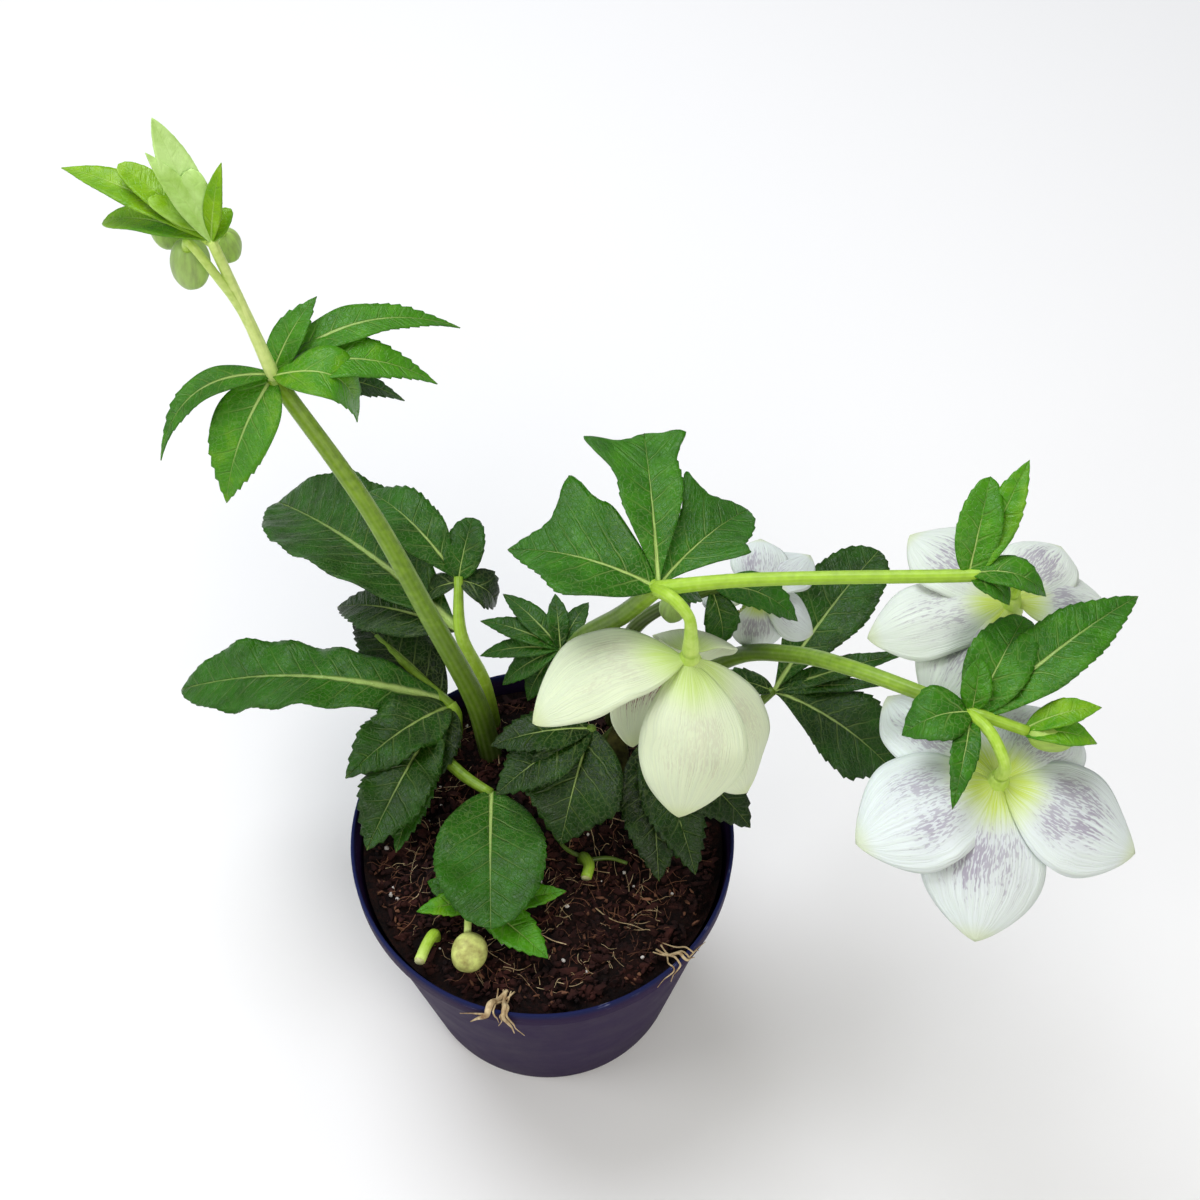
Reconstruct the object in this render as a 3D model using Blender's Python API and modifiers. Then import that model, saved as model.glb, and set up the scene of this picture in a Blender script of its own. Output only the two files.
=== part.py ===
"""Hellebore in a nursery pot: pot, compost, four flower stems, blooms, buds and basal leaves.

Lengths are in millimetres and become metres where a mesh is made. The origin is on the
floor under the middle of the pot, +Z is up, and -Y is the front of the plant.
"""
import math

import bmesh
import bpy
from mathutils import Vector

# Driving dimensions
MM = 0.001
GAP = 0.3                     # clearance between pieces that touch
POT_RADIUS = 70.0             # outside of the rim
POT_HEIGHT = 117.0
POT_BASE_RADIUS = 52.0
POT_WALL = 1.3
POT_FLOOR = 1.95              # thickness of the pot's floor
LIP_ROUND = 0.7               # how far the lip's edges are rounded off
BASE_ROUND = 2.0              # how far the edge of the base is rounded off
RIM_DEPTH = 9.0
RIM_STEP = 1.6                # how far the rim band stands proud of the side
SIDES = 40                    # steps round the pot
DRAIN_HOLES = 6
DRAIN_RING = 36.0             # distance of the drain holes from the pot's axis
DRAIN_RADIUS = 4.0
SOIL_EDGE = 107.5             # height of the compost at the pot wall
SOIL_MOUND = 2.5              # rise towards the middle
SOIL_RINGS = 4
FOOT = 94.0                   # depth that every stem reaches in the compost
EXIT = 113.0                  # height where a stem leaves its hole
HOLE_EASE = 1.05              # a faceted hole is wider by this, so its flats clear the stem
BLADE = 0.7                   # thickness of leaves and sepals
ROW_LENGTH = 9.0              # spacing of the rows of faces along a leaf
FEWEST_ROWS = 4
MOST_ROWS = 10
NECK_SHARE = 0.35             # part of a leaf that is at least as wide as its neck
TEETH = 0.10                  # how far alternate rows of an edge stand out, of the half width
TUBE_SIDES = 6
TUBE_STEPS = 3                # points between two control points of a stem

# A bloom: the receptacle that carries the sepals, and the heart below it
RECEPTACLE_TOP = 4.0
RECEPTACLE_BOTTOM = 3.0
RECEPTACLE_RADII = (2.4, 4.6)
SEPAL_ROOT = 2.2              # distance of a sepal's foot from the middle
SEPAL_NECK = 4.5
SEPAL_LIFT = (0.8, 0.4)       # height of the feet of the even and the odd sepals
HEART_DEPTH = 4.0
HEART_RADII = (3.6, 2.4)
# Each ring of stamens: how many, distance from the middle, lean outwards, length
STAMEN_RINGS = ((3, 0.9, 0.12, 13.0), (6, 2.0, 0.42, 11.0))
STAMEN_RADII = (0.5, 0.9)
STAMEN_ROOT = 1.5             # height of a stamen's foot inside the heart

COLOURS = {
    "pot": (0.035, 0.030, 0.100, 0.45),
    "compost": (0.045, 0.018, 0.010, 0.95),
    "stem": (0.200, 0.330, 0.030, 0.50),
    "leaf": (0.030, 0.110, 0.020, 0.40),
    "young_leaf": (0.120, 0.330, 0.030, 0.45),
    "sepal": (0.800, 0.850, 0.700, 0.55),
    "heart": (0.550, 0.620, 0.150, 0.60),
    "bud": (0.300, 0.360, 0.200, 0.55),
    "sheath": (0.130, 0.110, 0.030, 0.70),
}


def clear_scene():
    for item in list(bpy.data.objects):
        bpy.data.objects.remove(item, do_unlink=True)


def collection(name):
    made = bpy.data.collections.new(name)
    bpy.context.scene.collection.children.link(made)
    return made


def material(kind):
    found = bpy.data.materials.get(kind)
    if found:
        return found
    made = bpy.data.materials.new(kind)
    made.use_nodes = True
    shader = made.node_tree.nodes["Principled BSDF"]
    red, green, blue, roughness = COLOURS[kind]
    shader.inputs["Base Color"].default_value = (red, green, blue, 1.0)
    shader.inputs["Roughness"].default_value = roughness
    shader.inputs["Metallic"].default_value = 0.0
    return made


def link(mesh, name, kind, where):
    made = bpy.data.objects.new(name, mesh)
    made.data.materials.clear()
    made.data.materials.append(material(kind))
    where.objects.link(made)
    return made


def evaluated_mesh(item):
    bpy.context.view_layer.update()
    graph = bpy.context.evaluated_depsgraph_get()
    return bpy.data.meshes.new_from_object(item.evaluated_get(graph))


def replace_with_result(item):
    """The modifiers' result becomes the object's own mesh."""
    mesh = evaluated_mesh(item)
    item.modifiers.clear()
    item.data = mesh


def smooth_route(points):
    """A Catmull-Rom curve through the points, as a list of vectors."""
    ends = [2 * Vector(points[0]) - Vector(points[1]), 2 * Vector(points[-1]) - Vector(points[-2])]
    knots = [ends[0]] + [Vector(p) for p in points] + [ends[1]]
    route = []
    for a, b, c, d in zip(knots, knots[1:], knots[2:], knots[3:]):
        for step in range(TUBE_STEPS):
            t = step / TUBE_STEPS
            route.append(0.5 * (2 * b + (c - a) * t + (2 * a - 5 * b + 4 * c - d) * t ** 2
                                + (3 * b - a - 3 * c + d) * t ** 3))
    route.append(knots[-2])
    return route


def tube(points, radii, foot=False, sides=TUBE_SIDES):
    """A closed tube through the points. With foot, it first stands upright in the compost."""
    route = smooth_route(points)
    spread = len(radii) - 1
    thickness = []
    for index in range(len(route)):
        place = index / (len(route) - 1) * spread
        low = min(int(place), spread - 1)
        thickness.append(radii[low] + (radii[low + 1] - radii[low]) * (place - low))
    if foot:
        start = points[0]
        route.insert(0, Vector((start[0], start[1], FOOT)))
        thickness.insert(0, thickness[0])
    curve = bpy.data.curves.new("tube", "CURVE")
    curve.dimensions = "3D"
    curve.bevel_depth = MM
    curve.bevel_resolution = (sides - 4) // 2
    curve.use_fill_caps = True
    spline = curve.splines.new("POLY")
    spline.points.add(len(route) - 1)
    for point, place, radius in zip(spline.points, route, thickness):
        point.co = (*(place * MM), 1.0)
        point.radius = radius
    item = bpy.data.objects.new("tube", curve)
    bpy.context.scene.collection.objects.link(item)
    mesh = evaluated_mesh(item)
    bpy.data.objects.remove(item, do_unlink=True)
    shaped = bmesh.new()
    shaped.from_mesh(mesh)
    bmesh.ops.remove_doubles(shaped, verts=shaped.verts, dist=0.01 * MM)
    bmesh.ops.recalc_face_normals(shaped, faces=shaped.faces)
    shaped.to_mesh(mesh)
    shaped.free()
    return mesh


def blade(base, tip, width, arch=0.0, sweep=0.0, fold=0.15, columns=2, widest=0.45,
          blunt=0.8, teeth=TEETH, wave=0.0, neck=1.6, up=(0, 0, 1)):
    """A thin leaf or sepal from base to tip.

    arch lifts its middle and sweep bends it sideways. fold raises the two halves, a
    fraction of the half width. widest is the place of the greatest width, and a small
    blunt gives rounder ends. wave is the height of the waves along the edge.
    """
    start = Vector(base)
    chord = Vector(tip) - start
    along = chord.normalized()
    rows = max(FEWEST_ROWS, min(MOST_ROWS, round(chord.length / ROW_LENGTH)))
    lift = Vector(up) - Vector(up).dot(along) * along
    lift.normalize()
    side = along.cross(lift)
    power = math.log(0.5) / math.log(widest)
    grid = bmesh.new()
    bmesh.ops.create_grid(grid, x_segments=columns, y_segments=rows, size=0.5)
    for vert in grid.verts:
        t = vert.co.y + 0.5
        across = 2 * vert.co.x
        row = round(t * rows)
        half = 0.5 * width * math.sin(math.pi * t ** power) ** blunt if 0 < t < 1 else 0.0
        if row == rows:
            half = 0.0
        elif t < NECK_SHARE:
            half = max(half, 0.5 * neck)
        if 0 < row < rows:
            half *= 1 + teeth * (-1) ** row
        hump = 4 * t * (1 - t)
        centre = start + chord * t + lift * (arch * hump) + side * (sweep * hump)
        ripple = wave * math.sin(3 * math.pi * t) * (1 if across > 0 else -0.7)
        raised = fold * half * across ** 2 + ripple * abs(across) * min(1.0, 2 * half / width)
        vert.co = (centre + side * half * across + lift * raised) * MM
    bmesh.ops.remove_doubles(grid, verts=grid.verts, dist=0.05 * MM)
    bmesh.ops.triangulate(grid, faces=grid.faces)
    mesh = bpy.data.meshes.new("blade")
    grid.to_mesh(mesh)
    grid.free()
    item = bpy.data.objects.new("blade", mesh)
    bpy.context.scene.collection.objects.link(item)
    shell = item.modifiers.new("thickness", "SOLIDIFY")
    shell.thickness = BLADE * MM
    shell.offset = 0.0
    result = evaluated_mesh(item)
    bpy.data.objects.remove(item, do_unlink=True)
    return result


def lump(centre, radii, lobes=0, depth=0.0, axis=(0, 0, 1), segments=10, rings=6):
    """A closed ovoid. lobes are the overlapping sepals of a bud, seen as ridges."""
    ball = bmesh.new()
    bmesh.ops.create_uvsphere(ball, u_segments=segments, v_segments=rings, radius=1.0)
    turn = Vector((0, 0, 1)).rotation_difference(Vector(axis).normalized())
    for vert in ball.verts:
        angle = math.atan2(vert.co.y, vert.co.x)
        swell = 1 + depth * math.cos(lobes * angle)
        shaped = Vector((vert.co.x * radii[0] * swell, vert.co.y * radii[0] * swell,
                         vert.co.z * radii[1]))
        vert.co = (turn @ shaped + Vector(centre)) * MM
    mesh = bpy.data.meshes.new("lump")
    ball.to_mesh(mesh)
    ball.free()
    return mesh


def cone(start, end, wide, narrow, sides=6):
    """A closed cone or cylinder between two points."""
    first = Vector(start)
    last = Vector(end)
    solid = bmesh.new()
    bmesh.ops.create_cone(solid, cap_ends=True, segments=sides, radius1=wide * MM,
                          radius2=narrow * MM, depth=(last - first).length * MM)
    turn = Vector((0, 0, 1)).rotation_difference((last - first).normalized())
    for vert in solid.verts:
        vert.co = turn @ vert.co + (first + last) * 0.5 * MM
    mesh = bpy.data.meshes.new("cone")
    solid.to_mesh(mesh)
    solid.free()
    return mesh


def grown_together(name, kind, meshes):
    """One closed body from overlapping pieces."""
    item = link(meshes[0], name, kind, plant)
    others = bpy.data.collections.new(name + "_pieces")
    bpy.context.scene.collection.children.link(others)
    for index, mesh in enumerate(meshes[1:]):
        link(mesh, name + "_piece_" + str(index), kind, others)
    join = item.modifiers.new("join", "BOOLEAN")
    join.operation = "UNION"
    join.operand_type = "COLLECTION"
    join.collection = others
    join.solver = "MANIFOLD"
    replace_with_result(item)
    for piece in list(others.objects):
        bpy.data.objects.remove(piece, do_unlink=True)
    bpy.data.collections.remove(others)
    item.data.materials.clear()
    item.data.materials.append(material(kind))
    return item


def turned(name, kind, profile, where):
    """A closed turned body from a profile of (radius, height) that starts and ends on the axis."""
    mesh = bpy.data.meshes.new(name)
    points = [(radius * MM, 0.0, height * MM) for radius, height in profile]
    mesh.from_pydata(points, [(i, i + 1) for i in range(len(points) - 1)], [])
    item = link(mesh, name, kind, where)
    screw = item.modifiers.new("turn", "SCREW")
    screw.steps = SIDES
    screw.render_steps = SIDES
    screw.use_merge_vertices = True
    screw.merge_threshold = 0.00001
    replace_with_result(item)
    item.data.materials.clear()
    item.data.materials.append(material(kind))
    return item


def cut(item, tools):
    """Cuts every tool mesh out of the item."""
    group = bpy.data.collections.new(item.name + "_cutters")
    cutters.children.link(group)
    for index, mesh in enumerate(tools):
        cutter = bpy.data.objects.new(item.name + "_cutter_" + str(index), mesh)
        cutter.hide_render = True
        cutter.display_type = "WIRE"
        group.objects.link(cutter)
    difference = item.modifiers.new("cut", "BOOLEAN")
    difference.operation = "DIFFERENCE"
    difference.operand_type = "COLLECTION"
    difference.collection = group
    replace_with_result(item)


# The holes for the stems are listed while the stems are made
holes = []


def planted(points, radii, sides=TUBE_SIDES):
    """A stem that stands in a hole of its own in the compost."""
    first = points[0]
    holes.append((first[0], first[1], radii[0]))
    return tube(points, radii, foot=True, sides=sides)


def make_pot():
    side_top = POT_HEIGHT - RIM_DEPTH
    body = POT_RADIUS - RIM_STEP
    profile = [
        (0, POT_FLOOR),
        (POT_BASE_RADIUS - POT_WALL, POT_FLOOR),
        (body - POT_WALL, side_top),
        (POT_RADIUS - POT_WALL, POT_HEIGHT - LIP_ROUND),
        (POT_RADIUS - LIP_ROUND, POT_HEIGHT),
        (POT_RADIUS, POT_HEIGHT - LIP_ROUND),
        (POT_RADIUS - 0.3 * RIM_STEP, side_top - 0.3 * RIM_STEP),
        (body, side_top - 0.8 * RIM_STEP),
        (POT_BASE_RADIUS, BASE_ROUND),
        (POT_BASE_RADIUS - BASE_ROUND, 0),
        (0, 0),
    ]
    pot = turned("pot", "pot", profile[::-1], plant)
    drains = []
    for index in range(DRAIN_HOLES):
        angle = math.tau * (index + 0.5) / DRAIN_HOLES
        x = DRAIN_RING * math.cos(angle)
        y = DRAIN_RING * math.sin(angle)
        drains.append(cone((x, y, -POT_FLOOR), (x, y, 2 * POT_FLOOR), DRAIN_RADIUS, DRAIN_RADIUS,
                           sides=12))
    cut(pot, drains)


def make_compost():
    """Fills the pot, a little higher in the middle, with a hole for each stem."""
    floor = POT_FLOOR + GAP
    side_top = POT_HEIGHT - RIM_DEPTH
    slope = (POT_RADIUS - RIM_STEP - POT_BASE_RADIUS) / (side_top - POT_FLOOR)
    low = POT_BASE_RADIUS - POT_WALL - 1.2 * GAP
    high = low + slope * (SOIL_EDGE - floor)
    profile = [(0, floor), (low, floor), (high, SOIL_EDGE)]
    for ring in range(SOIL_RINGS):
        share = 1 - (ring + 1) / SOIL_RINGS
        height = SOIL_EDGE + SOIL_MOUND * math.cos(share * math.pi / 2)
        profile.append((high * share, height))
    compost = turned("compost", "compost", profile, plant)
    drills = []
    for x, y, stem_radius in holes:
        radius = (stem_radius + GAP) * HOLE_EASE
        drills.append(cone((x, y, FOOT - GAP), (x, y, POT_HEIGHT), radius, radius, sides=12))
    cut(compost, drills)


def make_stem_a():
    parts = [
        planted([(-21, 38, EXIT), (-25, 41, 145), (-38, 49, 185), (-57, 65, 230), (-84, 86, 271)],
                [4.4, 4.2, 3.6, 3.1, 2.6], sides=8),
        tube([(-83, 85, 269), (-89, 89, 298), (-94, 90, 327)], [2.2, 1.8, 1.6]),
        tube([(-84, 87, 270), (-96, 87, 302), (-103, 88, 324), (-106, 90, 326), (-106, 92, 322.3)],
             [1.7, 1.4, 1.3, 1.3, 1.3]),
        tube([(-94, 90, 325), (-105, 98, 328), (-111, 105, 326), (-112, 107, 320.3)],
             [1.2, 1.1, 1.1, 1.1]),
        tube([(-94, 90, 325), (-93, 98, 323), (-94, 105, 318), (-95, 107, 313.6)],
             [1.2, 1.1, 1.1, 1.1]),
        # Bracts round the lower node
        blade((-83, 86, 271), (-120, 64, 255), 11, arch=9, sweep=6),
        blade((-84, 86, 270), (-100, 56, 243), 22, arch=6),
        blade((-84, 86, 271), (-70, 108, 284), 12, arch=3),
        blade((-84, 87, 271), (-25, 109, 268), 15, arch=9, sweep=-4),
        blade((-84, 86, 271), (-32, 90, 262), 18, arch=10),
        blade((-84, 85, 271), (-58, 80, 254), 17, arch=13),
        blade((-84, 86, 270), (-44, 93, 250), 14, arch=5),
        # Bracts round the upper node
        blade((-94, 90, 326), (-110, 101, 351), 9, arch=2),
        blade((-97, 92, 331), (-109, 95, 339), 7),
        blade((-98, 93, 333), (-98, 101, 345), 7),
        blade((-95, 91, 326), (-108, 109, 357), 11, arch=1),
        blade((-95, 91, 326), (-140, 112, 335), 10, arch=5),
        blade((-95, 91, 326), (-121, 107, 341), 10, arch=2),
        blade((-95, 91, 326), (-129, 103, 322), 11, arch=4),
        blade((-94, 90, 326), (-88, 98, 350), 7),
        blade((-94, 90, 326), (-88, 97, 331), 6),
    ]
    grown_together("stem_a", "young_leaf", parts)
    link(lump((-106, 94, 314), (6.6, 8.0), 5, 0.05, axis=(0.1, 0.2, 1)), "bud_a1", "bud", plant)
    link(lump((-112, 108, 313.5), (5.4, 6.5), 5, 0.05), "bud_a2", "bud", plant)
    link(lump((-95, 108, 307), (4.8, 6.3), 5, 0.05), "bud_a3", "bud", plant)


def make_stem_b():
    parts = [
        planted([(8, 35, EXIT), (10, 39, 150), (13, 35, 190), (29, 23, 228), (39, 17, 252)],
                [3.8, 3.6, 3.4, 3.2, 2.8]),
        tube([(38, 17, 251), (60, 13, 261), (85, 8, 270), (128, 2, 280), (135, 3, 281),
              (141, 5, 276), (145, 7, 269), (145, 7, 262.3)], [2.4, 2.2, 2.1, 2.0, 1.8, 1.7, 1.7, 1.7]),
        tube([(38, 17, 251), (43, 10, 256), (48, 5, 253), (49, 3, 246), (49, 3, 237.3)],
             [2.2, 2.0, 1.9, 2.0, 2.2]),
        # The large bract leaf in five lobes
        blade((39, 17, 251), (-8, 33, 249), 27, arch=6, fold=0.2),
        blade((38, 18, 251), (15, 48, 258), 22, arch=4),
        blade((39, 18, 252), (34, 69, 262), 21, arch=6, fold=0.2),
        blade((37, 42, 262), (14, 66, 257), 15, arch=2),
        blade((37, 43, 262), (47, 67, 262), 14, arch=2),
        blade((39, 18, 251), (69, 46, 250), 18, arch=5, fold=0.2),
        blade((44, 23, 253.5), (49, 52, 261), 16, arch=2),
        blade((44, 23, 253.5), (65, 30, 247), 14, arch=2),
        blade((40, 17, 251), (53, 19, 241), 8, arch=2),
        # Bracts at the end of the arm
        blade((128, 2, 280), (134, 25, 297), 13, arch=3, blunt=0.6),
        blade((130, 2, 281), (145, 28, 301), 11, arch=2),
        blade((129, 2, 281), (150, -4, 278), 12, arch=6),
        blade((129, 1, 280), (139, -7, 278), 10, arch=4),
    ]
    grown_together("stem_b", "young_leaf", parts)


def make_stem_c():
    parts = [
        planted([(22, 38, EXIT), (42, 37, 150), (66, 30, 190), (82, 10, 224), (98, -11, 249),
                 (128, -30, 257), (134, -33, 258), (145, -37, 257)],
                [3.4, 3.2, 3.0, 2.8, 2.5, 2.2, 1.9, 1.6]),
        tube([(128, -30, 257), (133, -39, 260), (137, -47, 256), (137, -47, 249.3)],
             [1.8, 1.8, 1.8, 2.0]),
        lump((151, -39, 257), (4.2, 6.5), 5, 0.05, axis=(1, -0.2, 0.1), segments=8),
        blade((129, -31, 258), (109, -36, 253), 18, arch=5),
        blade((130, -31, 258), (146, -4, 267), 19, arch=4, blunt=0.6),
        blade((129, -31, 258), (131, -19, 268), 9, arch=2),
        blade((132, -32, 258), (180, 2, 269), 20, arch=6),
        blade((129, -31, 257), (121, -60, 253), 8, arch=5),
        blade((144, -36, 257), (165, -33, 264), 9, arch=3),
        blade((144, -38, 257), (164, -41, 257), 9, arch=4),
    ]
    grown_together("stem_c", "young_leaf", parts)


def make_stem_d():
    parts = [
        planted([(26, 52, EXIT), (28, 52, 150), (33, 42, 190), (44, 41, 206), (60, 40, 218),
                 (70, 41, 221.5), (74, 41, 219), (74, 41, 214.3)],
                [3.0, 2.8, 2.6, 2.3, 2.0, 1.7, 1.6, 1.6]),
        tube([(43, 41, 206), (46, 40, 217), (47, 36, 225), (45, 33, 226), (45, 33, 222.1)],
             [1.3, 1.1, 1.1, 1.1, 1.1]),
        blade((58, 40, 217), (62, 31, 196), 12, arch=4),
        blade((59, 40, 218), (86, 29, 214), 14, arch=7),
        blade((56, 40, 215.5), (52, 42, 194), 10, arch=3),
    ]
    grown_together("stem_d", "young_leaf", parts)


def make_bloom(name, centre, arch, sepals):
    """Five sepals on a receptacle, and the heart of pistils and stamens below it.

    A sepal is given by its tip and its width. Every bloom nods, so it faces the ground.
    """
    middle = Vector(centre)
    down = Vector((0, 0, -1))
    parts = [cone(middle - RECEPTACLE_TOP * down, middle + RECEPTACLE_BOTTOM * down,
                  *RECEPTACLE_RADII, sides=8)]
    for index, (tip, width) in enumerate(sepals):
        level = Vector((tip[0], tip[1], middle.z)) - middle
        start = middle + level.normalized() * SEPAL_ROOT - down * SEPAL_LIFT[index % 2]
        parts.append(blade(start, tip, width, arch=arch, fold=-0.28, columns=4, widest=0.52,
                           blunt=0.62, teeth=0.0, neck=SEPAL_NECK))
    grown_together("bloom_" + name, "sepal", parts)
    front = middle + (RECEPTACLE_BOTTOM + GAP) * down
    heart = [cone(front, front + HEART_DEPTH * down, *HEART_RADII, sides=8)]
    for ring, (count, away, lean, length) in enumerate(STAMEN_RINGS):
        for index in range(count):
            angle = math.tau * (index + 0.5 * ring) / count
            outward = Vector((math.cos(angle), math.sin(angle), 0))
            root = front + STAMEN_ROOT * down + outward * away
            end = root + (down + outward * lean).normalized() * length
            heart.append(cone(root, end, *STAMEN_RADII, sides=5))
    grown_together("heart_" + name, "heart", heart)


def make_blooms():
    make_bloom("middle", (49, 3, 233), 9,
               [((0, -13, 220), 29), ((46, -34, 197), 36), ((69, -19, 185), 30),
                ((53, 26, 192), 28), ((27, 6, 188), 27)])
    make_bloom("right", (137, -47, 245), 5,
               [((96, -61, 233), 38), ((129, -88, 225), 36), ((177, -64, 233), 36),
                ((164, -14, 228), 32), ((111, -7, 226), 32)])
    make_bloom("upper", (145, 7, 258), 5,
               [((103, 2, 246), 28), ((121, -22, 241), 32), ((179, 12, 246), 30),
                ((165, 32, 252), 24), ((118, 35, 254), 28)])
    make_bloom("back", (74, 41, 210), 3,
               [((74, 30, 194), 18), ((93, 35, 197), 18), ((93, 61, 206), 18),
                ((76, 65, 210), 20), ((56, 52, 198), 18)])


def make_basal_leaves():
    grown_together("leaf_north", "leaf", [
        planted([(-20, 51, EXIT), (-23, 55, 135), (-30, 62, 155), (-31, 80, 166)],
                [2.6, 2.6, 2.4, 1.6]),
        blade((-30, 62, 155), (-109, 142, 128), 46, arch=10, wave=2, widest=0.6),
        blade((-32, 64, 154), (-80, 88, 133), 26, arch=6),
        blade((-31, 79, 165), (-66, 117, 168), 22, arch=8, wave=1.5, widest=0.55),
        blade((-31, 79, 165), (-26, 102, 172), 15, arch=3, blunt=0.55),
        blade((-31, 79, 165), (-18, 76, 152), 16, arch=5),
        blade((-31, 78, 165), (-44, 78, 150), 12, arch=4),
    ])
    grown_together("leaf_west", "leaf", [
        planted([(-34, 47, EXIT), (-34, 50, 117), (-36, 53, 119)], [2.6, 2.5, 2.4]),
        tube([(-35, 52, 118.5), (-52, 66, 124), (-66, 82, 122)], [2.2, 1.7, 1.2]),
        blade((-38, 55, 119), (-76, 92, 117), 26, arch=6, wave=1),
        blade((-35, 53, 119), (-142, 66, 108), 32, arch=15, wave=2.5, widest=0.6,
              blunt=0.6),
        blade((-36, 52, 119), (-72, 17, 127), 26, arch=6, wave=1),
        blade((-36, 52, 119), (-63, -9, 121), 26, arch=7, wave=1.5, widest=0.6),
        blade((-36, 52, 119), (-53, -8, 117), 14, arch=5, widest=0.6),
        blade((-36, 51, 119), (-40, 21, 117), 14, arch=3),
    ])
    pedate = [planted([(9, 48, EXIT), (7, 46, 150), (7, 45, 172)], [1.8, 1.6, 1.5])]
    for tip, width in (((-14, 68, 172), 9), ((-22, 59, 168), 9), ((-22, 48, 162), 9),
                       ((-14, 40, 155), 11), ((-5, 37, 149), 10), ((5, 64, 178), 8),
                       ((17, 63, 174), 8), ((15, 52, 164), 7)):
        pedate.append(blade((7, 45, 171.5), tip, width, arch=3))
    grown_together("leaf_centre", "leaf", pedate)
    grown_together("leaf_front", "leaf", [
        planted([(18, 22, EXIT), (18, 24, 130), (18, 26, 149)], [2.2, 2.0, 1.6]),
        blade((18, 26, 148), (7, -11, 130), 34, arch=5, wave=1.5),
        blade((18, 26, 148), (-18, 20, 146), 17, arch=4),
        blade((18, 26, 148), (-16, 4, 139), 22, arch=4),
    ])
    grown_together("leaf_front_low", "leaf", [
        planted([(-40, 36, EXIT), (-38, 32, 116), (-29, 22, 119), (-19, 14, 121)],
                [2.4, 2.4, 2.2, 1.8]),
        blade((-19, 15, 121), (-17, -42, 127), 40, arch=5, teeth=0.06, wave=1,
              widest=0.55, blunt=0.6),
    ])
    grown_together("leaf_south_east", "leaf", [
        planted([(37, 22, EXIT), (37, 25, 128), (38, 27, 139)], [2.4, 2.2, 1.8]),
        blade((38, 27, 138), (42, -21, 121), 24, arch=6, wave=1),
        blade((38, 27, 138), (55, -19, 122), 22, arch=7, wave=1),
        blade((38, 27, 138), (75, -3, 127), 28, arch=7, wave=1),
    ])
    grown_together("leaf_east", "leaf", [
        planted([(46, 31, EXIT), (52, 33, 117), (66, 35, 127), (84, 41, 150)],
                [2.2, 2.2, 2.0, 1.7]),
        blade((84, 41, 149), (124, 90, 168), 28, arch=6, wave=1.5, widest=0.55),
        blade((84, 41, 149), (128, 10, 140), 30, arch=8, wave=1.5, widest=0.6),
        blade((84, 41, 149), (122, 38, 158), 7, arch=2),
        blade((84, 41, 149), (132, 49, 163), 9, arch=2),
        blade((84, 41, 149), (62, 44, 154), 10, arch=2),
    ])


def make_young_shoot():
    grown_together("young_shoot", "young_leaf", [
        planted([(-24, -26, EXIT), (-22, -28, 115), (-19, -30, 117)], [2.0, 2.0, 1.6]),
        tube([(-23, -27, 114.5), (-25.5, -33, 117.5), (-25.7, -39.2, 117.9)], [1.4, 1.3, 1.1]),
        blade((-23, -27, 115), (-44, -32, 119), 9, arch=2),
        blade((-23, -27, 115), (-41, -19, 116), 12, arch=2),
        blade((-20, -29, 116.5), (9, -25, 121), 10, arch=1),
        blade((-20, -29, 116.5), (3, -50, 120), 14, arch=2),
        blade((-21, -29, 116), (-8, -42, 116), 10, arch=1),
    ])
    link(lump((-25, -46.5, 117.5), (5.0, 7.0), 3, 0.06, axis=(-0.1, 1, 0.05)), "shoot_bud", "bud",
         plant)


def make_old_growth():
    link(planted([(-38, -38, EXIT), (-40, -43, 116), (-42, -50, 118)], [2.1, 2.0, 2.0]),
         "stub_left", "stem", plant)
    grown_together("stub_middle", "stem", [
        planted([(15, -8, EXIT), (17, -12, 115), (16, -17, 115)], [2.2, 2.1, 2.0]),
        tube([(16, -9, 112.6), (24, -8, 112.6), (31, -10, 112.4)], [0.9, 0.8, 0.6]),
        tube([(15, -8, 112.8), (9, -5, 113.4), (5, 0, 112.6)], [0.9, 0.8, 0.6]),
    ])
    grown_together("old_sheath", "sheath", [
        planted([(27, 22, EXIT), (26.5, 24, 122)], [1.6, 1.4]),
        blade((27, 22, 113), (27, 31, 146), 9, up=(0, -1, 0.2), fold=0.4, teeth=0.0, blunt=0.5,
              neck=4),
    ])
    link(lump((45, 33, 216), (4.6, 5.8), 5, 0.05), "bud_grey", "bud", plant)


clear_scene()
plant = collection("hellebore")
cutters = collection("cutters")
make_pot()
make_stem_a()
make_stem_b()
make_stem_c()
make_stem_d()
make_blooms()
make_basal_leaves()
make_young_shoot()
make_old_growth()
make_compost()
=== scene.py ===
# %% [markdown]
# A hellebore in its nursery pot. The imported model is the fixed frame: it gives each part's
# place and size. This script puts the finished surfaces round it, one organ at a time:
# toothed leaves with sunken veins, freckled sepals, stamens, ridged stems, loose compost
# and a moulded plastic pot.

# %% Load the frame
import math
import random
from functools import partial

import bpy
import numpy as np
from mathutils import Matrix, Vector


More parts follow.
